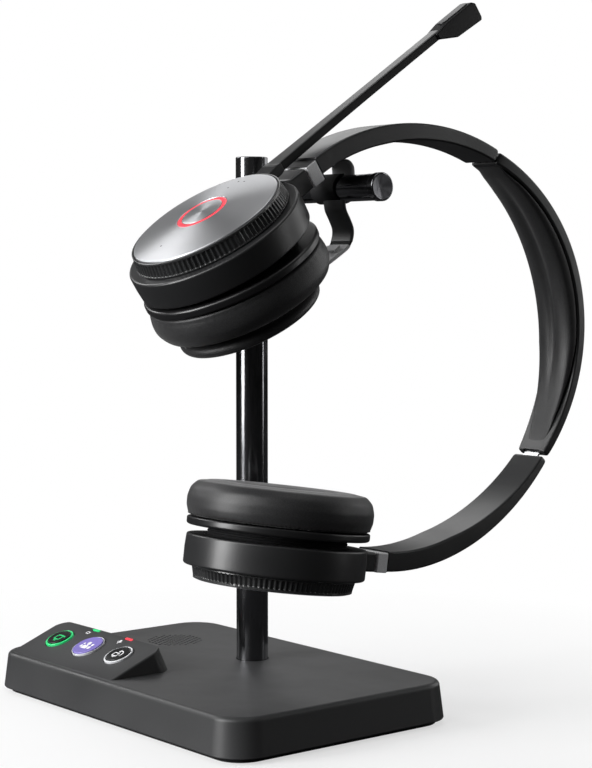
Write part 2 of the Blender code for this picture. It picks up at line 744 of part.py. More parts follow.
def cup_flange(cup):
    """The pad's plate, with two towers up to the gimbal's inner pins."""
    place = gimbal_frame(cup)
    top, bottom = FLANGE_TOP - GIMBAL_Z, FLANGE_BOTTOM - GIMBAL_Z
    flange = turned(f"{cup.name}_flange", [
        (0, top), (28.9, top), (FLANGE_R - 0.4, top - 0.25), (FLANGE_R, top - 0.9),
        (FLANGE_R, bottom + 0.9), (FLANGE_R - 0.8, bottom), (0, bottom),
    ], place, "black_plastic", 40)
    for side in (-1, 1):
        y0, y1 = sorted((side * 8.0, side * 10.4))
        join(flange, box(f"{cup.name}_tower_{side}", (-1.7, y0, top - 1.0), (1.7, y1, 1.9),
                         place))
    cut(flange, rod(f"{cup.name}_tower_bore", (0, -12, 0), (0, 12, 0), PIN_BORE_R, place,
                    steps=12))
    finish(flange)


def cup_driver(cup):
    bottom = FLANGE_BOTTOM - GIMBAL_Z
    turned(f"{cup.name}_driver", [
        (0, bottom - 0.3), (12.2, bottom - 0.3), (12.2, bottom - 2.4), (9.5, bottom - 3.4),
        (4.0, bottom - 2.7), (0, bottom - 3.2),
    ], gimbal_frame(cup), "cone_paper", 32)


def cup_cushion(cup):
    """The padded ring; the upper one steps in below its main roll."""
    top, roll, face = (z - GIMBAL_Z for z in (CUSHION_TOP, cup.roll_z, cup.face_z))
    face_r = cup.face_r
    middle, half = (top + roll) / 2, (top - roll) / 2
    profile = [(28.6, top)]
    for degrees in range(58, -63, -24):
        angle = math.radians(degrees)
        bulge = CUSHION_ROUND * math.cos(angle) ** 0.7
        profile.append((CUSHION_R - CUSHION_ROUND + bulge, middle + half * math.sin(angle)))
    if cup is UPPER:
        profile += [
            (face_r + 0.1, roll + 0.1), (face_r, roll - 0.5), (face_r + 0.3, face + 1.3),
            (face_r - 0.3, face + 0.3),
        ]
    profile += [
        (face_r - 1.6, face), (19.0, face + 0.1), (15.0, face + 0.9), (13.4, face + 2.6),
        (13.0, top),
    ]
    turned(f"{cup.name}_cushion", profile, gimbal_frame(cup), "cushion_leather", 36)


# ======== boom ========
def boom():
    """The straight boom arm, and the microphone head beyond it."""
    side_view = UPPER.frame @ SIDEWAYS
    under, arm_end, head_start = BOOM_TOP - BOOM_T, BOOM_R1 + 0.6, BOOM_R1 + 0.9
    # Outlines are (distance along the boom, height in the cup's frame).
    arm = prism("boom_arm", [
        (BOOM_R0, under), (arm_end, under), (arm_end, BOOM_TOP), (BOOM_R0, BOOM_TOP),
    ], BOOM_W, side_view, "black_plastic")
    bevel(arm, 0.45)
    head = prism("mic_head", [
        (head_start, under - 0.3), (BOOM_R1 + 8.0, -6.9), (HEAD_R1, -7.6),
        (HEAD_R1 + 0.3, -6.9), (HEAD_R1 - 0.1, -2.0), (HEAD_R1 - 0.7, -1.5),
        (head_start, BOOM_TOP),
    ], BOOM_W + 0.9, side_view, "black_plastic")
    bevel(head, 0.4)
    cut(head, box("mic_port", (-0.9, MIC_R - 0.9, -9.0), (0.9, MIC_R + 0.9, -6.3),
                  UPPER.frame))
    finish(head)
    tube("mic_capsule", (0, 0.6), (-6.45, -7.2), UPPER.frame @ shifted(0, MIC_R), "steel", 16)


# ======== headband ========
def outer_point(angle):
    """(y, z) on the headband's outer line."""
    t = math.radians(angle)
    radius = (ARC_R + ARC_TWO[0] * math.cos(2 * t) + ARC_TWO[1] * math.sin(2 * t)
              + ARC_THREE[0] * math.cos(3 * t) + ARC_THREE[1] * math.sin(3 * t))
    return ARC_Y + radius * math.cos(t), ARC_Z + radius * math.sin(t)


def arc_tangent(angle):
    """Unit (y, z) along the headband at angle, towards growing angles."""
    before, after = outer_point(angle - 0.5), outer_point(angle + 0.5)
    step_y, step_z = after[0] - before[0], after[1] - before[1]
    size = math.hypot(step_y, step_z)
    return step_y / size, step_z / size


def arc_point(angle, inset):
    """(y, z) on the headband's outer line, moved in by inset along its normal."""
    y, z = outer_point(angle)
    along_y, along_z = arc_tangent(angle)
    return y - along_z * inset, z + along_y * inset


def strip_frame(cup):
    """On the sliding strip's middle line at a joint: +Y' leads away from the band's middle."""
    y, z = arc_point(cup.joint, cup.strip_depth)
    along_y, along_z = (cup.away * part for part in arc_tangent(cup.joint))
    return axes_frame((BAND_X, y, z), (1, 0, 0), (0, along_y, along_z), (0, -along_z, along_y))


def cut_strip_slot(obj, cup, part, y0, y1):
    """Cuts the strip's slot from y0 to y1 along the strip's frame."""
    cut(obj, box(f"{cup.name}_{part}_slot", (-SLOT_HALF_W, y0, -SLOT_HALF_T),
                 (SLOT_HALF_W, y1, SLOT_HALF_T), strip_frame(cup)))


def cup_arm(cup):
    """The sleeve from the headband's joint to the accent."""
    at_joint, at_cup = cup.arm_depths
    angles = span(cup.joint + cup.away * JOINT_GAP, cup.tip, 15)
    outside = [outer_point(angle) for angle in angles]
    inside = [arc_point(angle, at_joint + (at_cup - at_joint) * min(1.0, i / 9))
              for i, angle in enumerate(angles)]
    end_face = []
    for z in (cup.block_mid + cup.block_half, cup.block_mid - cup.block_half):
        point = cup.frame @ Vector((0, (ACCENT_R1 + PART_GAP) * MM, z * MM))
        end_face.append((point.y / MM, point.z / MM))
    arm = prism(f"{cup.name}_arm", outside + end_face + inside[::-1], ARM_W, BAND_FRAME,
                "charcoal_satin")
    bevel(arm, 0.9, angle=50)
    cut_strip_slot(arm, cup, "arm", -2.0, 9.3)
    finish(arm)


def cup_strip(cup):
    """The steel strip that joins arm and band."""
    strip = box(f"{cup.name}_strip", (-STRIP_HALF_W, -23.0, -STRIP_HALF_T),
                (STRIP_HALF_W, 9.0, STRIP_HALF_T), strip_frame(cup), "steel")
    bevel(strip, 0.2, segments=1)


def narrowed(obj, end_width, mid_width, power):
    """Draws the piece's width in towards both of the headband's joints."""
    full = max(abs(vert.co.z) for vert in obj.data.vertices)
    for vert in obj.data.vertices:
        angle = math.degrees(math.atan2(vert.co.y / MM - ARC_Z, vert.co.x / MM - ARC_Y))
        share = min(max((angle - JOINT_LOW) / (JOINT_UP - JOINT_LOW), 0.0), 1.0)
        width = end_width + (mid_width - end_width) * math.sin(math.pi * share) ** power
        vert.co.z *= width / 2 * MM / full
    return obj


def band_share(angle):
    """0 at the band's lower end, 1 at its upper end."""
    return (angle - BAND_START) / (BAND_STOP - BAND_START)


def band_shell():
    """The headband's outer shell, thinner at the lower end and thicker at the upper."""
    angles = span(BAND_START, BAND_STOP, 30)
    outside = [outer_point(angle) for angle in angles]
    inside = []
    for i, angle in enumerate(angles):
        share = i / 29
        inside.append(arc_point(angle, BAND_T - 0.9 * (1 - share) ** 4 + 0.4 * share**6))
    shell = prism("band_shell", outside + inside[::-1], BAND_W, BAND_FRAME, "charcoal_satin")
    narrowed(shell, end_width=13.0, mid_width=BAND_W, power=0.7)
    bevel(shell, 0.8, angle=50)
    for cup in CUPS:
        cut_strip_slot(shell, cup, "band", -23.4, 4.0)
    finish(shell)


def band_pad():
    """The cushion under the shell, thickest near its middle."""
    outer_side, inner_side = [], []
    for i, angle in enumerate(span(JOINT_LOW + 4.0, JOINT_UP - 3.0, 25)):
        share = i / 24
        swell = 5.0 * math.sin(math.pi * share**1.2) ** 1.15
        depth = BAND_T + PAD_GAP
        outer_side.append(arc_point(angle, depth + 0.4 * band_share(angle) ** 6))
        inner_side.append(arc_point(angle, depth + 0.5 + 0.4 * share + swell))
    pad = prism("band_pad", outer_side + inner_side[::-1], BAND_W - 0.8, BAND_FRAME,
                "cushion_leather")
    narrowed(pad, end_width=10.0, mid_width=BAND_W - 0.6, power=0.8)
    bevel(pad, 0.8, angle=50)
    finish(pad)


# ======== assembly ========
for build in (base_shell, base_plates, base_board, usb_socket, base_speaker, panel_buttons,
              panel_leds, post, cradle_rod, cradle_strap):
    build()
for each_cup in CUPS:
    for build in (cup_disc, cup_knurl, cup_housing, cup_accent, cup_bellows, cup_gimbal,
                  cup_flange, cup_driver, cup_cushion, cup_arm, cup_strip):
        build(each_cup)
for build in (upper_fittings, lower_fittings, boom, band_shell, band_pad):
    build()

for helper in cutters.objects:
    helper.hide_render = True
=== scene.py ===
"""An office headset on its desk charging stand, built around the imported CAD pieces.

Z is up. The base stands on z = 0 round the origin, with its sloping key panel along the front
(-Y) and left (-X) part. A post rises from it, a cradle rod runs from the post towards +X, and
the headset hangs there with its band curving in a YZ plane.
Lengths are millimetres unless a name or comment says otherwise; MM turns them into metres.
"""

import json
import math
from types import SimpleNamespace

import bmesh
import bpy
import numpy as np
from mathutils import Matrix, Vector, noise


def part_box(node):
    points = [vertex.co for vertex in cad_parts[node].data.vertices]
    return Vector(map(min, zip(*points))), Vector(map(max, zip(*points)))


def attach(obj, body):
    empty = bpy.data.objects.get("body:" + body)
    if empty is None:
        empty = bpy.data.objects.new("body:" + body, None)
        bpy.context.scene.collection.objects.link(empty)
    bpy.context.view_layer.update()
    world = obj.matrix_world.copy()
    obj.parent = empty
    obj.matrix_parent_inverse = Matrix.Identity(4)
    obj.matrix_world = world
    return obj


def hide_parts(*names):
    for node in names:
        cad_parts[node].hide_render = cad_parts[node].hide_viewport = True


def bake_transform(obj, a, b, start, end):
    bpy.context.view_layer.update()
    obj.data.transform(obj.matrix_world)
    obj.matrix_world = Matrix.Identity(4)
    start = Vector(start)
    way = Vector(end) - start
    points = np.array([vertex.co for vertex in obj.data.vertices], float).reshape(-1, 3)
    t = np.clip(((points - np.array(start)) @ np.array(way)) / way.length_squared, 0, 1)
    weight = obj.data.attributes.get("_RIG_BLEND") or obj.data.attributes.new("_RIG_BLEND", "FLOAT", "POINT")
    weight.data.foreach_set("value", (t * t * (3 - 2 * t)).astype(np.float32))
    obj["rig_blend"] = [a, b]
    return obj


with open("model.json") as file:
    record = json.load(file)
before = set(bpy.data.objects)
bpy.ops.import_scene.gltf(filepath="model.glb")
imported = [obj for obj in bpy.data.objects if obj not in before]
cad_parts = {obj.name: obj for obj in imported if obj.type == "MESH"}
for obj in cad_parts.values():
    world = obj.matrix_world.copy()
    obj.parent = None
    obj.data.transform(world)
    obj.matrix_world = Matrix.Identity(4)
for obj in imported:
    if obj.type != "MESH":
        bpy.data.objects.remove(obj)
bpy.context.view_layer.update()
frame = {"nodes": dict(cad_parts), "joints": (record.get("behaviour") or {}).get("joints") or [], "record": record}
MM = 0.001
joints = {joint["name"]: joint for joint in frame["joints"]}


# ======================================================================
# frames from the joints, sizes from the nodes' boxes
# ======================================================================
def frame_matrix(origin_m, x_axis, y_axis, z_axis):
    return Matrix([*zip(x_axis, y_axis, z_axis, origin_m), (0, 0, 0, 1)])


def lifted(matrix, z):
    return matrix @ Matrix.Translation((0, 0, z * MM))


def cup_frame(joint):
    """The joint's frame: Z along its axis, X near the world's X."""
    z_axis = Vector(joint["axis"]).normalized()
    x_axis = Vector((1, 0, 0))
    return frame_matrix(joint["pos_m"], x_axis, z_axis.cross(x_axis).normalized(), z_axis)


def pad_frame(side, x_sign, lift=0.0):
    """A pad's frame at its pitch joint, Y along the roll axis, moved by lift along Z."""
    x_axis = Vector((x_sign, 0, 0))
    y_axis = Vector(joints[f"{side}_roll"]["axis"]).normalized()
    z_axis = x_axis.cross(y_axis).normalized()
    origin = Vector(joints[f"{side}_pitch"]["pos_m"]) + z_axis * lift * MM
    return frame_matrix(origin, x_axis, y_axis, z_axis)


WORLD = Matrix.Identity(4)
PAD_DROP = 13.2  # from the cup frame's origin down to the pad's pitch joint

# What differs between the two cups and their arms. Angles are degrees along the headband.
UPPER = SimpleNamespace(
    side="upper", matrix=cup_frame(joints["boom_turn"]), pad_matrix=pad_frame("upper", 1),
    ring_height=4.95, crown=2.4, neck_z=-9.7, neck_half=3.7, lean_degrees=-3.6,
    sign=1, joint_angle=59.9, gap_angle=0.45, tip_angle=126.6,
    slide_depth=2.2, arm_thickness=(4.6, 6.3), arm_width=15.2)
LOWER = SimpleNamespace(
    side="lower", matrix=pad_frame("lower", -1, PAD_DROP), pad_matrix=pad_frame("lower", -1),
    ring_height=4.1, crown=0.5, neck_z=-10.3, neck_half=3.35, lean_degrees=0.0,
    sign=-1, joint_angle=-33.5, gap_angle=0.62, tip_angle=-100.6,
    slide_depth=1.7, arm_thickness=(3.2, 7.0), arm_width=14.4)

shell_low, shell_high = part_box("base_shell")
BASE_LENGTH = (shell_high.x - shell_low.x) / MM
BASE_DEPTH = (shell_high.y - shell_low.y) / MM
post_low, post_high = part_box("post_tube")
POST_R = (post_high.x - post_low.x) / 2 / MM
POST_Y = (post_high.y + post_low.y) / 2 / MM
POST_TOP = post_high.z / MM
rod_low, rod_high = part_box("cradle_rod")
ROD_R = (rod_high.y - rod_low.y) / 2 / MM
cap_low, cap_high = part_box("rod_cap")
ROD_Z = (cap_low.z + cap_high.z) / 2 / MM
ROD_CAP_R = (cap_high.y - cap_low.y) / 2 / MM
ROD_CAP_END = cap_high.x / MM
BAND_X = joints["boom_turn"]["pos_m"][0] / MM

# The headband's outer curve: a circle in YZ with (cosine, sine) terms of order two and three.
ARC_Y, ARC_Z, ARC_R = 45.6, 128.69, 79.49
ARC_TWO, ARC_THREE = (2.63, 1.46), (0.75, 0.65)

# Base and key panel
BASE_H = 14.6
BASE_CORNER = 12.1
SLOPE_FRONT_Y, SLOPE_TOP_Y, SLOPE_BACK_Y = -44.6, -21.8, -17.4
SLOPE_TOP_Z = shell_high.z / MM + 0.1
PANEL_X0, PANEL_X1 = -66.0, -0.5
KEY_Y, LAMP_Y = -32.1, -23.0
LAMPS = (("led_battery", -42.0, "green_glow"), ("led_mute", -20.9, "red_glow"))  # name, x, paint

# Cups, outer radii
DISC_R, HOUSING_R, FLANGE_R = 25.6, 30.3, 30.5

# Boom, distances from the cup's axis
BOOM_START, BOOM_END, MIC_END = 30.5, 119.8, 139.8


# ======================================================================
# node-based materials
# ======================================================================
MIX_FACTOR, MIX_A, MIX_B, MIX_RESULT = 0, 6, 7, 2  # colour sockets of a Mix node


def fill(node, **settings):
    """Capitalised settings are inputs, with _ for a space; the others are properties."""
    for key, value in settings.items():
        if key[0].isupper():
            node.inputs[key.replace("_", " ")].default_value = value
        else:
            setattr(node, key, value)
    return node


def shade(colour, factor, lift=0.0):
    return tuple(min(1, channel * factor + lift) for channel in colour)


class Shader:
    """A material with short calls to add and link its nodes."""

    def __init__(self, name, **values):
        self.material = bpy.data.materials.new(name)
        self.material.use_nodes = True
        self.tree = self.material.node_tree
        self.surface = fill(self.tree.nodes["Principled BSDF"], **values)
        self.place = self.add("TexCoord").outputs["Object"]

    def add(self, kind, **settings):
        return fill(self.tree.nodes.new("ShaderNode" + kind), **settings)

    def link(self, source, node, socket):
        self.tree.links.new(source, node.inputs[socket])

    def drive(self, source, surface_input):
        self.link(source, self.surface, surface_input)

    def texture(self, kind, output="Fac", vector=None, **settings):
        node = self.add("Tex" + kind, **settings)
        self.link(vector or self.place, node, "Vector")
        return node.outputs[output]

    def calculate(self, kind, operation, *inputs):
        node = self.add(kind, operation=operation)
        for index, value in enumerate(inputs):
            if isinstance(value, bpy.types.NodeSocket):
                self.link(value, node, index)
            else:
                node.inputs[index].default_value = value
        return node

    def remap(self, source, span, to):
        node = self.add("MapRange", From_Min=span[0], From_Max=span[1], To_Min=to[0], To_Max=to[1])
        self.link(source, node, "Value")
        return node.outputs["Result"]

    def blend(self, factor, colour_a, colour_b):
        node = self.add("Mix", data_type="RGBA")
        node.inputs[MIX_A].default_value = (*colour_a, 1)
        node.inputs[MIX_B].default_value = (*colour_b, 1)
        self.link(factor, node, MIX_FACTOR)
        return node.outputs[MIX_RESULT]

    def bump(self, height, strength, distance):
        """distance is in metres."""
        node = self.add("Bump", Strength=strength, Distance=distance)
        self.link(height, node, "Height")
        self.drive(node.outputs["Normal"], "Normal")

    def vary_gloss(self, source, rough, factors, span=(0.3, 0.7)):
        to = (rough * factors[0], rough * factors[1])
        self.drive(self.remap(source, span, to), "Roughness")


def moulded(name, colour, rough, grain=5200.0, depth=0.05, specular=0.5, coat=0.0, edge_wear_and_highlight=1.25,
            metallic=0.0):
    """Moulded plastic: fine grain, slow drift in gloss, convex edges lightened, partly as wear and partly as a
    painted edge highlight.
    """
    shader = Shader(name, Roughness=rough, Specular_IOR_Level=specular, Coat_Weight=coat,
                    Coat_Roughness=0.25, Metallic=metallic)
    fine = shader.texture("Noise", Scale=grain, Detail=2.0)
    slow = shader.texture("Noise", Scale=38.0, Detail=3.0)
    pits = shader.texture("Voronoi", "Distance", Scale=grain * 0.55)
    height = shader.calculate("Math", "MULTIPLY", fine, pits).outputs["Value"]
    shader.bump(height, strength=depth, distance=0.00006)
    shader.vary_gloss(slow, rough, factors=(0.88, 1.12))
    # Convex edges, found by pointiness, are lightened: partly wear, partly a painted edge highlight.
    edge = shader.add("NewGeometry").outputs["Pointiness"]
    worn_and_lit_edge = shader.remap(edge, span=(0.51, 0.56), to=(0.0, 1.0))
    tone = shader.blend(worn_and_lit_edge, colour, shade(colour, edge_wear_and_highlight, lift=0.004))
    speck = shader.remap(fine, span=(0.35, 0.65), to=(0.90, 1.10))
    vary = shader.add("Mix", data_type="RGBA", blend_type="MULTIPLY")
    vary.inputs[MIX_FACTOR].default_value = 1.0
    shader.link(tone, vary, MIX_A)
    shader.link(speck, vary, MIX_B)
    shader.drive(vary.outputs[MIX_RESULT], "Base Color")
    return shader.material


def polished(name, colour, rough, along=(60.0, 60.0, 1.5)):
    """Plated metal with faint drawing lines, stretched by along, and handling marks."""
    shader = Shader(name, Base_Color=(*colour, 1), Metallic=1.0, Roughness=rough,
                    Specular_IOR_Level=0.6)
    stretch = shader.add("Mapping", Scale=along)
    shader.link(shader.place, stretch, "Vector")
    lines = shader.texture("Noise", vector=stretch.outputs["Vector"], Scale=60.0, Detail=2.0)
    smudge = shader.texture("Noise", Scale=45.0, Detail=4.0)
    both = shader.calculate("Math", "MULTIPLY", lines, smudge).outputs["Value"]
    shader.vary_gloss(both, rough, factors=(0.75, 1.5), span=(0.15, 0.40))
    shader.drive(shader.blend(smudge, shade(colour, 0.85), shade(colour, 1.15)), "Base Color")
    return shader.material


def spun(name, colour, rough, rings, aniso):
    """Turned metal: circular tool marks round the object's own Z axis."""
    shader = Shader(name, Base_Color=(*colour, 1), Metallic=1.0, Roughness=rough,
                    Anisotropic=aniso, Anisotropic_Rotation=0.25)
    split = shader.add("SeparateXYZ")
    shader.link(shader.place, split, "Vector")
    flat = shader.add("CombineXYZ")
    shader.link(split.outputs["X"], flat, "X")
    shader.link(split.outputs["Y"], flat, "Y")
    radius = shader.calculate("VectorMath", "LENGTH", flat.outputs["Vector"]).outputs["Value"]
    scaled = shader.calculate("Math", "MULTIPLY", radius, rings).outputs["Value"]
    marks_node = shader.add("TexNoise", noise_dimensions="1D", Scale=1.0, Detail=2.0)
    shader.link(scaled, marks_node, "W")
    marks = marks_node.outputs["Fac"]
    shader.bump(marks, strength=0.10, distance=0.00004)
    shader.vary_gloss(marks, rough, factors=(0.85, 1.2))
    shader.drive(shader.blend(marks, shade(colour, 0.93), shade(colour, 1.06)), "Base Color")
    tangent = shader.add("Tangent", direction_type="RADIAL", axis="Z")
    shader.drive(tangent.outputs["Tangent"], "Tangent")
    return shader.material


def leatherette(name, colour, rough):
    """Soft coated cloth: pebbled cells, finer creases, a sheen at grazing angles."""
    shader = Shader(name, Roughness=rough, Specular_IOR_Level=0.42, Sheen_Weight=0.16,
                    Sheen_Roughness=0.45)
    warp = shader.texture("Noise", "Color", Scale=420.0, Detail=2.0)
    warp_reach = (0.0009, 0.0009, 0.0009)  # metres
    warped = shader.calculate("VectorMath", "MULTIPLY_ADD", warp, warp_reach, shader.place)
    cells = shader.texture("Voronoi", "Distance", vector=warped.outputs["Vector"],
                           feature="DISTANCE_TO_EDGE", Scale=1500.0)
    crease = shader.texture("Noise", Scale=2600.0, Detail=3.0)
    pebble = shader.remap(cells, span=(0.0, 0.16), to=(0.0, 1.0))
    crease_share = 0.35
    height = shader.calculate("Math", "MULTIPLY_ADD", crease, crease_share, pebble)
    shader.bump(height.outputs["Value"], strength=0.22, distance=0.00007)
    slow = shader.texture("Noise", Scale=55.0, Detail=3.0)
    shader.vary_gloss(slow, rough, factors=(0.85, 1.15))
    # The grooves between the pebbles are painted darker: painted shade.
    shader.drive(shader.blend(pebble, shade(colour, 0.55), colour), "Base Color")
    return shader.material


def glowing(name, colour, strength):
    """A lit lens, a little uneven behind its diffuser."""
    shader = Shader(name, Base_Color=(*colour, 1), Roughness=0.3, Emission_Color=(*colour, 1))
    haze = shader.texture("Noise", Scale=500.0, Detail=2.0)
    power = shader.remap(haze, span=(0.3, 0.7), to=(strength * 0.85, strength * 1.15))
    shader.drive(power, "Emission Strength")
    return shader.material


def woven(name, colour):
    """Tight acoustic cloth."""
    shader = Shader(name, Roughness=0.85, Sheen_Weight=0.3)
    across, along = (
        shader.texture("Wave", bands_direction=axis, Scale=900.0) for axis in ("X", "Y"))
    threads = shader.calculate("Math", "MAXIMUM", across, along).outputs["Value"]
    shader.bump(threads, strength=0.4, distance=0.0001)
    # The low places between the threads are painted darker: painted shade.
    shader.drive(shader.blend(threads, shade(colour, 0.4), colour), "Base Color")
    return shader.material


PLAIN = dict(grain=4200, depth=0.05, edge_wear_and_highlight=1.0)
PRINT = dict(rough=0.45, grain=4200, depth=0.04, specular=0.4, edge_wear_and_highlight=1.0)

PAINTS = {
    "charcoal_plastic": moulded("charcoal_grain", (0.030, 0.0305, 0.0315), rough=0.44,
                                grain=4600, depth=0.20, specular=0.45),
    "charcoal_satin": moulded("charcoal_soft", (0.016, 0.0163, 0.017), rough=0.36, depth=0.10),
    "black_plastic": moulded("black_satin", (0.008, 0.008, 0.0085), rough=0.33, depth=0.04),
    "rubber_black": moulded("black_rubber", (0.010, 0.010, 0.011), rough=0.82, grain=2600,
                            depth=0.4, specular=0.25, edge_wear_and_highlight=1.1),
    "silver_plastic": moulded("silver_paint", (0.90, 0.905, 0.915), rough=0.34, depth=0.06,
                              coat=0.2, edge_wear_and_highlight=1.0, metallic=0.12),
    "black_chrome": polished("black_chrome_plate", (0.17, 0.171, 0.178), rough=0.14),
    "spun_dark": spun("turned_dark_metal", (0.26, 0.26, 0.275), rough=0.36, rings=2600,
                      aniso=0.93),
    "spun_silver": spun("turned_silver", (0.52, 0.525, 0.54), rough=0.44, rings=3400,
                        aniso=0.62),
    "cushion_leather": leatherette("black_leatherette", (0.024, 0.024, 0.025), rough=0.46),
    "steel": polished("bright_steel", (0.55, 0.56, 0.57), rough=0.26, along=(4, 90, 90)),
    "zinc_steel": polished("zinc_plate", (0.42, 0.43, 0.44), rough=0.42, along=(20, 20, 20)),
    "board_green": moulded("solder_mask", (0.02, 0.14, 0.06), rough=0.35, grain=3000,
                           depth=0.1, coat=0.3),
    "gold_contact": moulded("contact_plate", (0.68, 0.68, 0.69), rough=0.34, **PLAIN),
    "green_glow": glowing("green_lens", (0.03, 0.55, 0.17), strength=0.35),
    "red_glow": glowing("red_lens", (0.72, 0.05, 0.07), strength=0.55),
    "white_trim": moulded("white_trim_plastic", (0.66, 0.67, 0.69), rough=0.34, **PLAIN),
    "violet_cap": moulded("violet_cap_plastic", (0.21, 0.17, 0.50), rough=0.36, grain=4200,
                          depth=0.08, coat=0.15),
    "battery_wrap": moulded("battery_film", (0.50, 0.52, 0.55), rough=0.30, grain=900,
                            depth=0.3, coat=0.4),
    "cone_paper": woven("driver_cloth", (0.035, 0.035, 0.036)),
    "print_white": moulded("white_print", (0.80, 0.80, 0.82), **PRINT),
    "print_green": glowing("green_print", (0.03, 0.50, 0.16), strength=0.25),
    "print_grey": moulded("grey_print", (0.22, 0.22, 0.23), **{**PRINT, "rough": 0.5}),
    "mic_black": moulded("mic_satin", (0.005, 0.005, 0.0055), rough=0.46, depth=0.006,
                         specular=0.22),
    "boom_top_painted_light": moulded("boom_top_painted_light_satin", (0.012, 0.012, 0.0125), rough=0.30, depth=0.004,
                          specular=0.6),
    # The rib tops are lightened strongly: partly wear, partly a painted highlight.
    "knurl_black": moulded("knurl_satin", (0.020, 0.0205, 0.021), rough=0.26, depth=0.03,
                           specular=0.6, edge_wear_and_highlight=1.6),
    # The tab is black plastic; this lighter grey stands for light falling on it: painted light.
    "tab_painted_light": moulded("strap_tab_painted_light", (0.30, 0.30, 0.305), rough=0.36, **PLAIN),
    "strap_metal": moulded("strap_patch", (0.68, 0.68, 0.69), rough=0.36, **PLAIN),
}


# ======================================================================
# outlines
# ======================================================================
def quarter_turn(steps):
    """(sine, cosine) pairs from 0 to 90 degrees."""
    turns = [math.pi / 2 * k / steps for k in range(steps + 1)]
    return [(math.sin(t), math.cos(t)) for t in turns]


def smooth_step(value):
    value = min(1.0, max(0.0, value))
    return value * value * (3 - 2 * value)


def span(start, end, count):
    return [start + (end - start) * i / (count - 1) for i in range(count)]


def running_lengths(line):
    lengths = [0.0]
    for start, end in zip(line, line[1:]):
        lengths.append(lengths[-1] + math.dist(start, end))
    return lengths


def rounded(points, closed=True, segments=5):
    """points are (a, b) or (a, b, radius): corners with a radius become arcs."""
    out = []
    count = len(points)
    for i, (a, b, *rest) in enumerate(points):
        if not rest or (not closed and i in (0, count - 1)):
            out.append((a, b))
            continue
        before, after = points[i - 1], points[(i + 1) % count]
        back = Vector((before[0] - a, before[1] - b))
        ahead = Vector((after[0] - a, after[1] - b))
        back_length, ahead_length = back.length, ahead.length
        back.normalize()
        ahead.normalize()
        half = back.angle(ahead) / 2
        reach = min(rest[0] / math.tan(half), back_length * 0.49, ahead_length * 0.49)
        radius = reach * math.tan(half)
        corner = Vector((a, b))
        centre = corner + (back + ahead).normalized() * (radius / math.sin(half))
        start = corner + back * reach - centre
        end = corner + ahead * reach - centre
        turn = start.angle_signed(end)
        for k in range(segments + 1):
            angle = -turn * k / segments
            c, s = math.cos(angle), math.sin(angle)
            out.append((centre.x + start.x * c - start.y * s,
                        centre.y + start.x * s + start.y * c))
    return out


def box_outline(low, high, corner=None, segments=5):
    """A rectangle between two opposite corners, rounded if a corner radius is given."""
    rest = () if corner is None else (corner,)
    (x0, y0), (x1, y1) = low, high
    return rounded([(x, y, *rest) for x, y in ((x0, y0), (x1, y0), (x1, y1), (x0, y1))],
                   segments=segments)


def rounded_rect(length, depth, corner, steps=12):
    points = []
    for sx, sy, start in ((1, 1, 0), (-1, 1, 90), (-1, -1, 180), (1, -1, 270)):
        cx, cy = sx * (length / 2 - corner), sy * (depth / 2 - corner)
        for i in range(steps + 1):
            angle = math.radians(start + 90 * i / steps)
            points.append((cx + corner * math.cos(angle), cy + corner * math.sin(angle)))
    return points


def arc_line(cx, cy, radius, start, end, count):
    """Points on an arc, with its start and end in degrees."""
    angles = [math.radians(angle) for angle in span(start, end, count)]
    return [(cx + radius * math.cos(a), cy + radius * math.sin(a)) for a in angles]


def counter_clockwise(outline):
    points = [Vector(point) for point in outline]
    area = sum(a.x * b.y - b.x * a.y for a, b in zip(points, points[1:] + points[:1]))
    return points[::-1] if area < 0 else points


def inset(points, amount, least_cosine):
    """Moves an outline inwards; least_cosine limits the reach at tight corners."""
    out = []
    for i, point in enumerate(points):
        into = (point - points[i - 1]).normalized()
        away = (points[(i + 1) % len(points)] - point).normalized()
        normal = Vector((-into.y - away.y, into.x + away.x)).normalized()
        normal /= max(least_cosine, math.cos(into.angle(away) / 2))
        out.append(point + normal * amount)
    return out


# ======================================================================
# meshes
# ======================================================================
def new_object(name, work, matrix):
    mesh = bpy.data.meshes.new(name)
    work.to_mesh(mesh)
    work.free()
    made = bpy.data.objects.new(name, mesh)
    bpy.context.scene.collection.objects.link(made)
    made.matrix_world = matrix
    return made


def set_shading(work, sharp):
    """Smooth faces, and sharp edges where the surface turns more than sharp degrees."""
    limit = math.radians(sharp)
    for face in work.faces:
        face.smooth = True
    for edge in work.edges:
        edge.smooth = not (len(edge.link_faces) == 2 and edge.calc_face_angle(0.0) > limit)


def weigh_normals(obj):
    normals = obj.modifiers.new("face_weight", "WEIGHTED_NORMAL")
    normals.keep_sharp = True
    normals.weight = 80


def to_object(name, work, matrix, paint, sharp=32.0, weigh=True):
    """paint is a key of PAINTS, a material, or None for a cutter."""
    set_shading(work, sharp)
    made = new_object(name, work, matrix)
    if paint is not None:
        made.data.materials.append(PAINTS[paint] if isinstance(paint, str) else paint)
    if weigh:
        weigh_normals(made)
    return made


def register(obj, body, slot, *nodes):
    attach(obj, body)
    if nodes:
        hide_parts(*nodes)


def bridge(work, ring_a, ring_b):
    """Faces between two rings of vertices; a ring of one vertex makes triangles."""
    count = max(len(ring_a), len(ring_b))
    for k in range(count):
        n = (k + 1) % count
        corners = (ring_a[k % len(ring_a)], ring_a[n % len(ring_a)],
                   ring_b[n % len(ring_b)], ring_b[k % len(ring_b)])
        work.faces.new(list(dict.fromkeys(corners)))


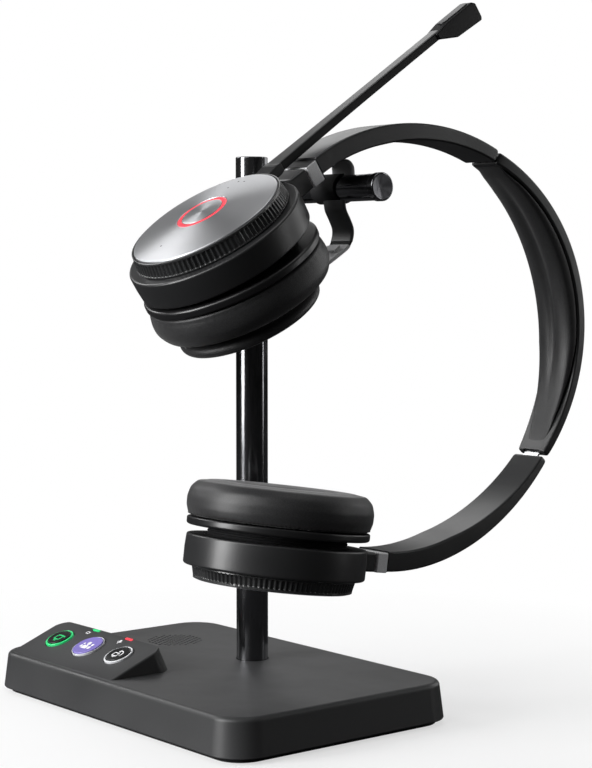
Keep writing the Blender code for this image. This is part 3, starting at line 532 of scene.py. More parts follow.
def lathe(name, profile, matrix, paint, steps=128, sharp=32.0, warp=None, closed=True,
          weigh=True):
    """Turns a profile of (radius, z) round Z. warp(radius, z, angle) may move each point."""
    work = bmesh.new()
    rings = []
    for radius, z in profile:
        if radius < 1e-6:
            rings.append([work.verts.new((0, 0, z * MM))])
            continue
        ring = []
        for k in range(steps):
            angle = 2 * math.pi * k / steps
            r, h = warp(radius, z, angle) if warp else (radius, z)
            ring.append(work.verts.new(
                (r * math.cos(angle) * MM, r * math.sin(angle) * MM, h * MM)))
        rings.append(ring)
    for ring_a, ring_b in zip(rings, rings[1:] + ([rings[0]] if closed else [])):
        bridge(work, ring_a, ring_b)
    bmesh.ops.recalc_face_normals(work, faces=work.faces)
    return to_object(name, work, matrix, paint, sharp, weigh)


def skin(name, rings, matrix, paint, sharp=32.0, weigh=True):
    """A tube with closed ends through rings of (x, y, z) points."""
    work = bmesh.new()
    made = [[work.verts.new((x * MM, y * MM, z * MM)) for x, y, z in ring] for ring in rings]
    for ring_a, ring_b in zip(made, made[1:]):
        bridge(work, ring_a, ring_b)
    work.faces.new(list(reversed(made[0])))
    work.faces.new(made[-1])
    bmesh.ops.recalc_face_normals(work, faces=work.faces)
    return to_object(name, work, matrix, paint, sharp, weigh)


def slab(name, outline, low, high, matrix, paint, edge, segments):
    """An outline of (x, y) from z low to z high, with its top edge rounded."""
    points = counter_clockwise(outline)
    rings = [[(p.x, p.y, low) for p in points]]
    for s, c in quarter_turn(segments):
        level = inset(points, edge * (1 - c), least_cosine=0.4)
        rings.append([(p.x, p.y, high - edge * (1 - s)) for p in level])
    return skin(name, rings, matrix, paint)


def cross_bar(name, outline, x0, x1, matrix, paint, edge, segments=4):
    """An outline of (y, z) pushed along X, with both ends rounded by edge."""
    points = counter_clockwise(outline)
    start, end = [], []
    for s, c in quarter_turn(segments):
        level = inset(points, edge * (1 - s), least_cosine=0.45)
        start.append([(x0 + edge * (1 - c), p.x, p.y) for p in level])
        end.append([(x1 - edge * (1 - c), p.x, p.y) for p in level])
    return skin(name, start + end[::-1], matrix, paint, weigh=False)


def prism(name, outline, x0, x1, matrix):
    """A cutter: an outline of (y, z) pushed from x0 to x1."""
    return skin(name, [[(x, a, b) for a, b in outline] for x in (x0, x1)], matrix, None,
                weigh=False)


def block(name, low, high, matrix):
    return prism(name, box_outline(low[1:], high[1:]), low[0], high[0], matrix)


def rod(name, start, end, radius, steps):
    """A cylindrical cutter between two points."""
    start, end = Vector(start), Vector(end)
    turn = (end - start).to_track_quat("Z", "Y").to_matrix().to_4x4()
    length = (end - start).length
    return lathe(name, [(0, 0), (radius, 0), (radius, length), (0, length)],
                 Matrix.Translation(start * MM) @ turn, None, steps, closed=False, weigh=False)


def ribbon(name, line, width, low, high, matrix, paint, loop):
    """A raised stroke along a line of (x, y), from z low to z high."""
    points = [Vector(point) for point in line]
    count = len(points)
    left, right = [], []
    for i, point in enumerate(points):
        before = point - points[i - 1] if loop or i > 0 else points[1] - point
        after = points[(i + 1) % count] - point if loop or i < count - 1 else before
        before = before.normalized()
        along = (before + after.normalized()).normalized()
        offset = Vector((-along.y, along.x)) * (width / 2 / max(0.5, abs(along.dot(before))))
        left.append(point + offset)
        right.append(point - offset)
    work = bmesh.new()
    a, b, c, d = (
        [work.verts.new((p.x * MM, p.y * MM, z * MM)) for p in row]
        for row, z in ((left, high), (right, high), (left, low), (right, low)))
    for i in range(count if loop else count - 1):
        j = (i + 1) % count
        work.faces.new((a[i], b[i], b[j], a[j]))
        work.faces.new((c[j], d[j], d[i], c[i]))
        work.faces.new((a[j], c[j], c[i], a[i]))
        work.faces.new((b[i], d[i], d[j], b[j]))
    if not loop:
        for i in (0, count - 1):
            work.faces.new((a[i], c[i], d[i], b[i]))
    bmesh.ops.recalc_face_normals(work, faces=work.faces)
    return to_object(name, work, matrix, paint, sharp=30, weigh=False)


def evaluated_mesh(obj):
    graph = bpy.context.evaluated_depsgraph_get()
    return bpy.data.meshes.new_from_object(obj.evaluated_get(graph))


def bake(obj):
    """Applies every modifier."""
    bpy.context.view_layer.update()
    mesh = evaluated_mesh(obj)
    obj.modifiers.clear()
    old = obj.data
    obj.data = mesh
    bpy.data.meshes.remove(old)


def boolean(obj, other, operation="DIFFERENCE"):
    """Applies a Boolean and deletes the other object."""
    cut = obj.modifiers.new(operation.lower(), "BOOLEAN")
    cut.operation, cut.solver, cut.object = operation, "EXACT", other
    bake(obj)
    bpy.data.objects.remove(other, do_unlink=True)


def reshade(mesh, sharp, merge_m=None):
    work = bmesh.new()
    work.from_mesh(mesh)
    if merge_m:
        bmesh.ops.remove_doubles(work, verts=work.verts, dist=merge_m)
    set_shading(work, sharp)
    work.to_mesh(mesh)
    work.free()


def finish(obj, sharp):
    """Merges doubled points and sets the shading once the Booleans are done."""
    reshade(obj.data, sharp, merge_m=2e-7)
    weigh_normals(obj)


def joined(name, objects):
    """One object from several, in the first one's frame and with its materials."""
    base = objects[0]
    work = bmesh.new()
    inverse = base.matrix_world.inverted()
    for obj in objects:
        mesh = obj.data.copy()
        mesh.transform(inverse @ obj.matrix_world)
        work.from_mesh(mesh)
        bpy.data.meshes.remove(mesh)
    made = new_object(name, work, base.matrix_world.copy())
    for material in base.data.materials:
        made.data.materials.append(material)
    for obj in objects:
        bpy.data.objects.remove(obj, do_unlink=True)
    return made


def paint_second(obj, paint, is_second):
    """Gives the faces that is_second picks a second material."""
    obj.data.materials.append(PAINTS[paint])
    for face in obj.data.polygons:
        if is_second(face):
            face.material_index = 1


# ======================================================================
# printed signs: parts are (kind, points, stroke width or edge radius)
# ======================================================================
def disc_part(x, y, radius):
    return ("patch", arc_line(x, y, radius, 0, 360, 25)[:-1], 0.04)


def bust_part(x, top, width, height):
    left, right, bottom = x - width / 2, x + width / 2, top - height
    shoulder = width * 0.42
    outline = rounded([(left, bottom, 0.2), (right, bottom, 0.2),
                       (right, top, shoulder), (left, top, shoulder)], segments=6)
    return ("patch", outline, 0.04)


def draw(matrix, low, high, paint, parts):
    made = []
    for kind, points, size in parts:
        if kind == "patch":
            made.append(slab("patch", points, low, high, matrix, paint, size, 1))
        else:
            made.append(ribbon("stroke", points, size, low, high, matrix, paint,
                               loop=kind == "loop"))
    return made


def sign(name, pieces, body, slot):
    register(joined(name, pieces), body, slot)


# ======================================================================
# stand: base
# ======================================================================
def find_key(name, trim, cap, rim):
    """rim is the width of the ring round the cap."""
    low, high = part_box(f"ring_{name}")
    return SimpleNamespace(name=name, trim=trim, cap=cap, rim=rim, x=(low.x + high.x) / 2 / MM,
                           radius=(high.x - low.x) / 2 / MM + 0.28)


KEYS = [
    find_key("answer", trim="green_glow", cap="black_plastic", rim=1.1),
    find_key("meeting", trim="white_trim", cap="violet_cap", rim=0.7),
    find_key("switch", trim="white_trim", cap="black_plastic", rim=1.1),
]
panel_normal = -Vector(joints["press_answer"]["axis"]).normalized()


def panel(x, y):
    """A frame on the key panel: X along it, Y up the slope, Z out."""
    slope = (SLOPE_TOP_Z - BASE_H) / (SLOPE_TOP_Y - SLOPE_FRONT_Y)
    z = BASE_H + (y - SLOPE_FRONT_Y) * slope
    right = Vector((1, 0, 0))
    return frame_matrix(Vector((x, y, z)) * MM, right, panel_normal.cross(right).normalized(),
                        panel_normal)


def base_level(z, shrink, corner, steps):
    outline = rounded_rect(BASE_LENGTH - 2 * shrink, BASE_DEPTH - 2 * shrink, corner, steps)
    return [(x, y, z) for x, y in outline]


def corner_cutter(name, x, side, radius):
    """Rounds a rear corner of the key panel, leaning as the panel's back does."""
    rings = []
    for z in (BASE_H + 0.02, SLOPE_TOP_Z + 6.0):
        share = (SLOPE_TOP_Z - z) / (SLOPE_TOP_Z - BASE_H + 0.5)
        back = SLOPE_TOP_Y + (SLOPE_BACK_Y - SLOPE_TOP_Y) * share
        outline = [(x + side * 3, back - radius), (x + side * 3, back + 4.0),
                   (x - side * radius, back + 4.0)]
        outline += [(x - side * (radius - radius * s), back - radius + radius * c)
                    for s, c in quarter_turn(18)]
        rings.append([(px, py, z) for px, py in outline])
    return skin(name, rings, WORLD, None, weigh=False)


def base_solid():
    top_radius, top_shrink = 1.7, 1.2
    levels = [(1.5, 0.55), (1.62, 0.2), (1.95, 0.0)]  # (z, shrink) at the foot
    levels += [(BASE_H - top_radius * (1 - s), top_shrink + top_radius * (1 - c))
               for s, c in quarter_turn(7)]
    rings = [base_level(z, shrink, BASE_CORNER - 0.55 * shrink, 14) for z, shrink in levels]
    base = skin("base_body", rings, WORLD, "charcoal_plastic", weigh=False)
    side = rounded([  # y, z, corner radius
        (-45.6, BASE_H - 0.4), (-44.2, BASE_H + 0.12, 4.0), (SLOPE_TOP_Y, SLOPE_TOP_Z, 1.0),
        (SLOPE_BACK_Y, BASE_H - 0.5), (SLOPE_BACK_Y, BASE_H - 1.4), (-45.6, BASE_H - 1.4),
    ], segments=6)
    wedge = cross_bar("wedge_body", side, PANEL_X0, PANEL_X1, WORLD, "charcoal_plastic", 0.8)
    boolean(base, wedge, "UNION")
    boolean(base, corner_cutter("corner_left", PANEL_X0, -1, 8.0))
    boolean(base, corner_cutter("corner_right", PANEL_X1, 1, 6.5))
    return base


def hollow_base(base):
    rings = [base_level(z, shrink, 10.0, 6) for z, shrink in ((1.0, 2.0), (BASE_H - 2.2, 3.2))]
    boolean(base, skin("base_room", rings, WORLD, None, weigh=False))
    room = [(SLOPE_FRONT_Y + 6.0, BASE_H - 2.6), (SLOPE_TOP_Y - 1.6, SLOPE_TOP_Z - 2.9),
            (SLOPE_BACK_Y - 2.6, BASE_H - 2.6)]
    boolean(base, prism("wedge_room", room, PANEL_X0 + 6, PANEL_X1 - 6, WORLD))


def cut_panel(base):
    for key in KEYS:
        radius = key.radius + 0.02
        boolean(base, lathe(f"bore_{key.name}", [(0, 3), (radius, 3), (radius, -6), (0, -6)],
                            panel(key.x, KEY_Y), None, 72, closed=False, weigh=False))
    for name, x, _ in LAMPS:
        hole = slab(f"bore_{name}", rounded_rect(4.9, 1.5, 0.7, 5), -4.5, 2.0,
                    panel(x, LAMP_Y), None, edge=0.01, segments=1)
        hole.modifiers.clear()
        boolean(base, hole)


def cut_speaker_grille(base):
    """A round patch of small holes in rows, every other row half a pitch along."""
    centre_x, centre_y, patch_radius = -44.5, 13.8, 9.9
    pitch, hole_radius = 2.15, 0.62
    holes = []
    for i in range(-8, 9):
        for j in range(-8, 9):
            x, y = pitch * (i + 0.5 * (j % 2)), pitch * 0.866 * j
            if x * x + y * y < patch_radius * patch_radius:
                place = (centre_x + x, centre_y + y)
                holes.append(rod(f"hole_{i}_{j}", (*place, BASE_H - 4), (*place, BASE_H + 2),
                                 hole_radius, steps=12))
    boolean(base, joined("grille_holes", holes))


def build_base():
    base = base_solid()
    hollow_base(base)
    cut_panel(base)
    boolean(base, rod("bore_post", (0, POST_Y, 5), (0, POST_Y, 20), POST_R + 0.25, steps=96))
    cut_speaker_grille(base)
    socket_x, socket_z = -9.5, 7.5
    socket = [[(socket_x + x, y, socket_z + z) for x, z in rounded_rect(9.6, 3.8, 1.7, 8)]
              for y in (BASE_DEPTH / 2 - 5, BASE_DEPTH / 2 + 2)]
    boolean(base, skin("usb_hole", socket, WORLD, None, weigh=False))
    finish(base, 34)
    register(base, "stand", "charcoal_plastic", "base_shell")


def build_key(key):
    at = panel(key.x, KEY_Y)
    inner, outer = key.radius - key.rim, key.radius - 0.3
    ring = rounded([(inner + 0.15, 0.62, 0.18), (outer, 0.62, 0.28), (outer, -2.2),
                    (inner + 0.15, -2.2)], segments=4)
    register(lathe(f"trim_{key.name}", ring, at, key.trim, 96),
             "stand", key.trim, f"ring_{key.name}")
    rim_z, dish = 0.95, 0.32
    profile = [(inner * f, rim_z - dish * (1 - f * f)) for f in (0, 0.2, 0.4, 0.6, 0.78)]
    profile += rounded([(inner * 0.88, rim_z - 0.06), (inner - 0.12, rim_z, 0.3),
                        (inner - 0.12, -1.2), (1.6, -1.2), (1.6, -6.6)], closed=False)
    profile += [(0, -6.6)]
    cap = lathe(f"key_{key.name}_cap", profile, at, key.cap, 96, closed=False)
    register(cap, f"key_{key.name}", key.cap, f"button_{key.name}")


# Parts of each key's sign, as for draw()
ANSWER_PARTS = [
    ("loop", box_outline((-1.75, -1.35), (1.35, 1.25), 0.55), 0.55),
    ("line", [(0.9, 0.3), (1.9, 1.2), (2.3, 1.1), (2.55, 0.6)], 0.5),
    ("line", [(-0.9, -2.15), (0.5, -2.15)], 0.5),
]
MEETING_PARTS = [
    bust_part(-0.55, -0.05, 3.0, 2.1), disc_part(-0.55, 1.15, 0.98),
    bust_part(2.05, -0.25, 1.5, 1.6), disc_part(1.95, 0.75, 0.68),
    bust_part(-2.85, -0.35, 1.1, 1.4), disc_part(-2.8, 0.55, 0.5),
]
SWITCH_PARTS = [
    ("loop", box_outline((-2.0, -1.5), (0.55, 0.35), 0.4), 0.42),
    ("line", arc_line(0.2, 0.1, 1.75, 125, -35, 15), 0.42),
    ("line", [(-0.35, 2.25), (-0.85, 1.45), (0.0, 1.0)], 0.4),
    ("line", [(-1.3, -2.05), (-0.1, -2.05)], 0.36),
]
BATTERY_PARTS = [
    ("loop", box_outline((-0.8, -0.55), (0.8, 0.55), 0.2, 4), 0.26),
    ("line", [(1.05, -0.25), (1.05, 0.25)], 0.24),
]
MUTE_PARTS = [
    ("patch", box_outline((-0.55, -0.4), (0.55, 1.0), 0.5), 0.02),
    ("line", arc_line(0, 0.1, 0.95, 180, 360, 11), 0.26),
    ("line", [(0, -0.85), (0, -1.45)], 0.26),
]


def build_panel_fittings():
    for key in KEYS:
        build_key(key)
    sign_parts = (ANSWER_PARTS, MEETING_PARTS, SWITCH_PARTS)
    sign_paints = ("print_green", "print_white", "print_white")
    for key, parts, paint in zip(KEYS, sign_parts, sign_paints):
        pieces = draw(lifted(panel(key.x, KEY_Y), 0.62), 0.0, 0.14, paint, parts)
        sign(f"sign_{key.name}", pieces, f"key_{key.name}", key.trim)
    for name, x, paint in LAMPS:
        lens = slab(f"{name}_lens", rounded_rect(4.4, 1.0, 0.48, 8), -2.6, 0.16,
                    panel(x, LAMP_Y), paint, edge=0.12, segments=3)
        register(lens, "stand", paint, name)
    for name, x, y, parts in (("sign_battery", -44.3, -25.2, BATTERY_PARTS),
                              ("sign_mute", -23.3, -25.3, MUTE_PARTS)):
        sign(name, draw(panel(x, y), -0.02, 0.05, "print_white", parts), "stand", "white_trim")


build_base()
build_panel_fittings()


# ======================================================================
# stand: post, cradle rod, strap
# ======================================================================
ALONG_ROD = frame_matrix((0, POST_Y * MM, ROD_Z * MM), (0, 0, -1), (0, 1, 0), (1, 0, 0))


def build_post():
    at = Matrix.Translation((0, POST_Y * MM, 0))
    wall = rounded([
        (POST_R - 0.9, POST_TOP, 0.1), (POST_R, POST_TOP, 0.55), (POST_R, 7.0),
        (POST_R - 1.6, 7.0), (POST_R - 1.6, POST_TOP - 1.0), (POST_R - 0.9, POST_TOP - 0.5, 0.1)])
    register(lathe("post_pipe", wall, at, "black_chrome"), "stand", "black_chrome", "post_tube")
    lid = [(0, POST_TOP - 0.1)] + rounded([
        (POST_R - 1.8, POST_TOP - 0.1), (POST_R - 0.98, POST_TOP - 0.1, 0.25),
        (POST_R - 0.98, POST_TOP - 0.6), (POST_R - 1.7, POST_TOP - 1.2),
        (POST_R - 1.7, POST_TOP - 3.0)], closed=False) + [(0, POST_TOP - 3.0)]
    register(lathe("post_cap", lid, at, "black_chrome", 96, closed=False),
             "stand", "black_chrome", "post_lid")


def build_cradle_rod():
    start, end = rod_low.x / MM, rod_high.x / MM
    profile = [(0, start), (ROD_R, start), (ROD_R, end - 0.3), (ROD_R - 0.3, end), (0, end)]
    register(lathe("cradle_bar", profile, ALONG_ROD, "black_chrome", 96, closed=False),
             "stand", "black_chrome", "cradle_rod")
    cap_start = cap_low.x / MM
    profile = [(0, ROD_CAP_END - 1.5), (0.35, ROD_CAP_END - 1.47)] + rounded([
        (1.2, ROD_CAP_END - 1.2), (ROD_CAP_R - 0.55, ROD_CAP_END - 0.1, 0.25),
        (ROD_CAP_R, ROD_CAP_END - 0.25, 0.3), (ROD_CAP_R, cap_start)], closed=False)
    tip = lathe("cradle_end", profile + [(0, cap_start)], ALONG_ROD, "spun_dark", closed=False)
    plated_r = (ROD_CAP_R - 0.62) * MM
    paint_second(tip, "black_chrome",
                 lambda face: math.hypot(face.center.x, face.center.y) > plated_r)
    register(tip, "stand", "spun_dark", "rod_cap")


STRAP_X, STRAP_WIDTH, STRAP_THICK = 49.85, 10.5, 1.3


def spline(knots, count):
    """A Catmull-Rom curve through (y, z) knots."""
    points = []
    for u in span(0, len(knots) - 1, count):
        k = min(int(u), len(knots) - 2)
        f = u - k
        near = (knots[max(k - 1, 0)], knots[k], knots[k + 1], knots[min(k + 2, len(knots) - 1)])
        points.append(tuple(
            0.5 * (2 * b + (c - a) * f + (2 * a - 5 * b + 4 * c - d) * f * f
                   + (3 * b - a - 3 * c + d) * f**3)
            for a, b, c, d in zip(*near)))
    return points


def strap_rings(line, first, last, thick, start_radius, end_radius):
    """A flat strip along part of a (y, z) line, its width rounded off at the line's ends."""
    rings = []
    lengths = running_lengths(line)
    for i in range(first, last + 1):
        y, z = line[i]
        before, after = line[max(i - 1, 0)], line[min(i + 1, len(line) - 1)]
        dy, dz = after[0] - before[0], after[1] - before[1]
        size = math.hypot(dy, dz)
        ny, nz = -dz / size, dy / size
        half = STRAP_WIDTH / 2
        for gap, r in ((lengths[i], start_radius), (lengths[-1] - lengths[i], end_radius)):
            if gap < r:
                arc = math.sqrt(r**2 - (r - gap) ** 2)
                half = min(half, STRAP_WIDTH / 2 - r + arc + 0.02)
        outline = rounded_rect(2 * half, thick, min(thick * 0.42, 0.6), 4)
        rings.append([(STRAP_X + a, y + ny * b, z + nz * b) for a, b in outline])
    return rings


def build_strap():
    strap_line = spline([(12.8, 178.0), (13.3, 174.8), (15.1, 171.6), (16.5, 168.6),
                         (16.4, 165.6), (14.9, 162.6), (11.2, 160.0), (5.6, 156.6)], 81)
    tab_line = spline([(16.8, ROD_Z), (16.8, ROD_Z + ROD_R * 0.8), (16.7, ROD_Z + ROD_R + 1.6),
                       (16.3, ROD_Z + ROD_R + 3.4), (15.8, ROD_Z + ROD_R + 5.2)], 31)
    # name, line, first and last point, thickness, end radius, paint, slot, replaced nodes
    strips = (
        ("cradle_hook", strap_line, 0, 51, STRAP_THICK, 1.5,
         "charcoal_plastic", "black_plastic", ["cradle_strap"]),
        ("cradle_heel", strap_line, 56, 80, STRAP_THICK - 0.1, 1.5,
         "strap_metal", "black_plastic", []),
        ("cradle_seam", strap_line, 50, 57, STRAP_THICK - 0.55, 1.5,
         "rubber_black", "rubber_black", []),
        # The tab's light grey is painted light, as the tab sits in shade from the key lamp.
        ("cradle_tab", tab_line, 0, 30, STRAP_THICK + 0.3, 3.4,
         "tab_painted_light", "black_plastic", []),
    )
    for name, line, first, last, thick, end_radius, paint, slot, nodes in strips:
        rings = strap_rings(line, first, last, thick, 0.5, end_radius)
        register(skin(name, rings, WORLD, paint, 40), "stand", slot, *nodes)
    inner, outer = ROD_R + 0.12, ROD_R + 0.62
    hub = rounded([(inner, 38.6), (outer, 38.6, 0.2), (outer, 51.0, 0.2), (inner, 51.0)],
                  segments=4)
    register(lathe("cradle_hub", hub, ALONG_ROD, "rubber_black", 96), "stand", "black_plastic")


build_post()
build_cradle_rod()
build_strap()


# ======================================================================
# ear cups; Z points out of the cup, away from the pad
# ======================================================================
RIBS = 100
KNURL_TOP = -1.15
CALL_BORE_R = 8.85  # hole in the upper disc


def dome(cup, radius):
    """Height of the disc's crowned face."""
    return cup.crown * (1 - (radius / DISC_R) ** 2)


def ring_bottom(cup):
    return -0.35 - cup.ring_height


def build_disc(cup):
    """The spun disc, with a rolled rim; the upper one has a bore."""
    upper = cup is UPPER
    hole = CALL_BORE_R if upper else 0.0
    roll, under_z = 0.55, -1.3
    flat_r = DISC_R - roll
    radii = span(hole, flat_r, 15)
    top = []
    if upper:
        radii[0] += 0.15
        top = [(hole, dome(cup, hole) - 0.15)]
    top += [(r, dome(cup, r)) for r in radii]
    top += [(flat_r + roll * s, dome(cup, flat_r) - 0.5 * (1 - c))
            for s, c in quarter_turn(6)[1:]]
    top += [(DISC_R, under_z), (hole, under_z)]
    disc = lathe(f"{cup.side}_spun_disc", top, cup.matrix, "spun_silver", 160, closed=upper)
    register(disc, f"headset_{cup.side}", "spun_silver", f"{cup.side}_disc")


def build_call_key(cup):
    """The upper cup's lit ring, centre key, its sign, and black dots on the disc that stand for its pin holes:
    painted shade.
    """
    lamp = rounded([(7.35, dome(cup, 7.35) - 0.12, 0.12), (8.72, dome(cup, 8.72) - 0.12, 0.12),
                    (8.72, -1.3), (7.35, -1.3)], segments=4)
    register(lathe("call_lamp", lamp, cup.matrix, "red_glow"),
             "headset_upper", "red_glow", "call_light")
    profile = [(r, dome(cup, r)) for r in (0, 1.5, 3.0, 4.5, 6.0, 6.9)]
    profile += [(7.1, dome(cup, 7.1) - 0.08), (7.18, dome(cup, 7.18) - 0.25),
                (7.18, -1.3), (1.5, -1.3), (1.5, -5.2), (0, -5.2)]
    register(lathe("call_key_cap", profile, cup.matrix, "spun_silver", closed=False),
             "call_key", "spun_silver", "call_button")
    parts = [("line", [(-1.5, -0.8), (-0.6, -0.1), (0.4, 0.25), (1.6, 0.6)], 0.34),
             ("line", [(-0.2, -0.75), (0.9, -0.2)], 0.26)]
    on_key = lifted(cup.matrix, dome(cup, 1.0) - 0.02)
    sign("sign_call", draw(on_key, 0.0, 0.05, "print_grey", parts), "call_key", "spun_silver")
    # Black dots on the disc stand for the pin holes: painted shade where the holes would look dark.
    hole_shade_dots = []
    for x, y in ((-3.0, 19.7), (0.2, 19.5), (-3.2, 15.1), (-1.7, -18.2)):
        on_disc = lifted(cup.matrix, dome(cup, math.hypot(x, y)) - 0.03)
        hole_shade_dots += draw(on_disc, -0.05, 0.06, "rubber_black", [disc_part(x, y, 0.34)])
    sign("pin_hole_shade_dots", hole_shade_dots, "headset_upper", "rubber_black")


def build_knurled_ring(cup):
    bottom = ring_bottom(cup)
    rib_low = bottom + 0.45

    def ribs(r, z, angle):
        if r < 25.8 or not rib_low < z < KNURL_TOP:
            return r, z
        wave = math.sin(angle * RIBS)
        cut = 0.5 - 0.5 * max(-1.0, min(1.0, wave * 2.2))
        depth = 0.60 * (0.75 + 0.25 * math.sin(angle * 7 + 1.3))
        return r - depth * cut, z

    profile = [(25.86, -0.35), (26.15, -0.30), (26.42, -0.42), (26.50, KNURL_TOP + 0.12),
               (26.52, KNURL_TOP - 0.02)]
    first_z, last_z = KNURL_TOP - 0.12, rib_low + 0.12
    profile += [(26.52 + 0.62 * f, first_z + (last_z - first_z) * f)
                for f in (0, 0.25, 0.5, 0.75, 1.0)]
    profile += [(27.18, rib_low + 0.02), (27.22, rib_low - 0.08), (27.22, bottom),
                (24.3, bottom), (24.3, -1.65), (25.86, -1.65)]
    ring = lathe(f"{cup.side}_knurled_ring", profile, cup.matrix, "knurl_black", RIBS * 6,
                 sharp=48, warp=ribs)
    body = "boom" if cup is UPPER else "headset_lower"
    register(ring, body, "black_plastic", f"{cup.side}_knurl")


def build_boom_root(cup):
    outline = rounded([  # y, z, corner radius
        (26.4, -4.2, 0.5), (26.4, -1.1, 0.6), (31.5, -0.45, 0.6),
        (33.4, -0.55, 0.5), (33.4, -3.7, 0.6), (31.5, -4.2, 0.5)], segments=4)
    root = cross_bar("boom_root", outline, -3.8, 3.8, cup.matrix, "black_plastic", 0.45)
    finish(root, 40)
    register(root, "boom", "black_plastic")


def build_housing(cup):
    """The cup's body with the neck towards the arm, then the silver clip beyond the neck."""
    side, body = cup.side, f"headset_{cup.side}"
    bottom = ring_bottom(cup)
    shoulder = bottom - 0.3
    profile = rounded([  # radius, z, corner radius
        (26.6, shoulder, 0.2), (HOUSING_R - 0.05, shoulder, 0.85), (HOUSING_R, -10.5),
        (HOUSING_R - 0.25, -15.0, 0.75), (24.2, -15.0, 0.3), (24.2, -13.6), (27.6, -13.6),
        (28.2, -13.0), (28.2, bottom - 2.1), (26.6, bottom - 2.1)], segments=6)
    housing = lathe(f"{side}_cup_housing", profile, cup.matrix, "charcoal_satin", 160,
                    weigh=False)
    low_z, high_z = cup.neck_z - cup.neck_half, cup.neck_z + cup.neck_half
    outline = rounded([
        (28.6, low_z + 0.1, 0.9), (38.2, low_z, 0.9), (38.2, high_z, 0.9),
        (31.2, high_z + 0.1, 2.0), (28.6, high_z + 1.0, 0.9)])
    neck = cross_bar(f"{side}_neck", outline, -7.7, 7.7, cup.matrix, "charcoal_satin", 0.8, 5)
    boolean(housing, neck, "UNION")
    finish(housing, 36)
    register(housing, body, "charcoal_satin", f"{side}_housing")

    clip = cross_bar(f"{side}_silver_clip",
                     box_outline((38.4, low_z - 0.1), (43.2, high_z + 0.1), 0.5, 4),
                     -8.0, 8.0, cup.matrix, "silver_plastic", 0.42)
    finish(clip, 50)
    paint_second(clip, "charcoal_satin", lambda face: face.normal.z > 0.6)
    register(clip, body, "silver_plastic", f"{side}_accent")


def build_bellows(cup):
    """The folded rubber skin between housing and pad, leaning with the pad."""
    side = cup.side
    tilt = math.tan(math.radians(cup.lean_degrees))
    top_z, depth = -14.6, 3.0
    still_z, full_z = -15.1, -17.3  # where the skin starts to follow the pad, and follows fully

    def fold(r, z, angle):
        return r, z + r * math.sin(angle) * tilt * (top_z - z) / depth

    profile = rounded([(r, z, 0.35) for r, z in (
        (24.4, top_z), (23.4, -15.1), (22.9, -15.7), (23.5, -16.3), (22.9, -16.9),
        (23.3, -17.5), (21.2, -17.5), (21.0, -16.0), (21.4, top_z))], segments=3)
    bellows = lathe(f"{side}_rubber_skin", profile, cup.matrix, "rubber_black", warp=fold)
    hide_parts(f"{side}_bellows")
    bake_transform(bellows, f"headset_{side}", f"{side}_hoop",
             cup.matrix @ Vector((0, 0, still_z * MM)), cup.matrix @ Vector((0, 0, full_z * MM)))
    # The skin leans, so each point's share comes from its height before the fold.
    to_cup = cup.matrix.inverted()
    shares = bellows.data.attributes["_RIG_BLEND"].data
    for i, vert in enumerate(bellows.data.vertices):
        at = to_cup @ vert.co / MM
        rise = at.y * tilt
        flat_z = (at.z - top_z * rise / depth) / (1 - rise / depth)
        shares[i].value = smooth_step((still_z - flat_z) / (still_z - full_z))


def build_pad_plate(cup):
    """The plate behind the cushion, grooved for the rubber skin, with two pivot towers."""
    top, groove, under = -17.8 + PAD_DROP, -19.1 + PAD_DROP, -20.5 + PAD_DROP
    profile = [(0, top)] + rounded([
        (20.2, top), (20.2, groove), (24.2, groove), (24.2, top), (FLANGE_R, top, 0.9),
        (FLANGE_R, under, 0.6), (28.0, under)], closed=False, segments=6) + [(0, under)]
    plate = lathe(f"{cup.side}_pad_plate", profile, cup.pad_matrix, "black_plastic", 160,
                  closed=False, weigh=False)
    for y0, y1 in ((-10.4, -8.0), (8.0, 10.4)):
        tower = block("tower", (-1.7, y0, top - 0.1), (1.7, y1, 1.9), cup.pad_matrix)
        boolean(plate, tower, "UNION")
    finish(plate, 36)
    register(plate, f"{cup.side}_pad", "black_plastic", f"{cup.side}_flange")


for cup in (UPPER, LOWER):
    build_disc(cup)
    if cup is UPPER:
        build_call_key(cup)
    build_knurled_ring(cup)
    if cup is UPPER:
        build_boom_root(cup)
    build_housing(cup)
    build_bellows(cup)
    build_pad_plate(cup)


# ======================================================================
# ear cushions: sewn leatherette over foam
# ======================================================================
# Half sections in the cup's heights: radius, z, corner radius
UPPER_SECTION = [
    (28.7, -20.85), (29.8, -20.95, 0.3), (30.25, -21.7, 0.5), (29.95, -22.15, 0.2),
    (30.35, -22.6, 0.5), (30.85, -25.5, 3.0), (30.8, -28.0, 3.0), (29.2, -31.2, 2.6),
    (25.6, -32.5, 0.8), (22.7, -32.7, 0.4), (22.7, -34.0, 0.4), (24.2, -34.6, 0.6),
    (24.9, -36.0, 0.9), (24.4, -37.6, 0.8), (22.9, -38.0, 0.5), (19.0, -37.8, 1.0),
    (15.2, -36.3, 1.6), (13.4, -33.0, 1.2), (13.2, -20.85),
]
LOWER_SECTION = [
    (28.7, -20.85), (29.9, -20.95, 0.3), (30.3, -21.5, 0.5), (31.0, -24.0, 2.5),
    (31.1, -27.0, 3.0), (30.3, -30.2, 3.0), (28.2, -32.3, 1.6), (26.9, -32.6, 0.2),
    (26.2, -32.5, 0.3), (24.4, -32.9, 1.0), (19.5, -33.0, 1.0), (15.2, -32.1, 2.0),
    (13.4, -29.6, 1.2), (13.2, -20.85),
]
SPEAKER_SECTION = [  # radius, z
    (0, -25.2), (6.0, -25.1), (11.0, -24.6), (13.6, -23.8), (13.6, -24.4), (11.0, -25.2),
    (0, -25.8),
]
CREASE_Z = -32.7 + PAD_DROP
SIM_SCALE = 20.0  # the cloth is simulated at this many times its size
SIM_FRAMES = 20
COVER_STEPS, COVER_POINTS = 120, 74  # round the ring, and along its section
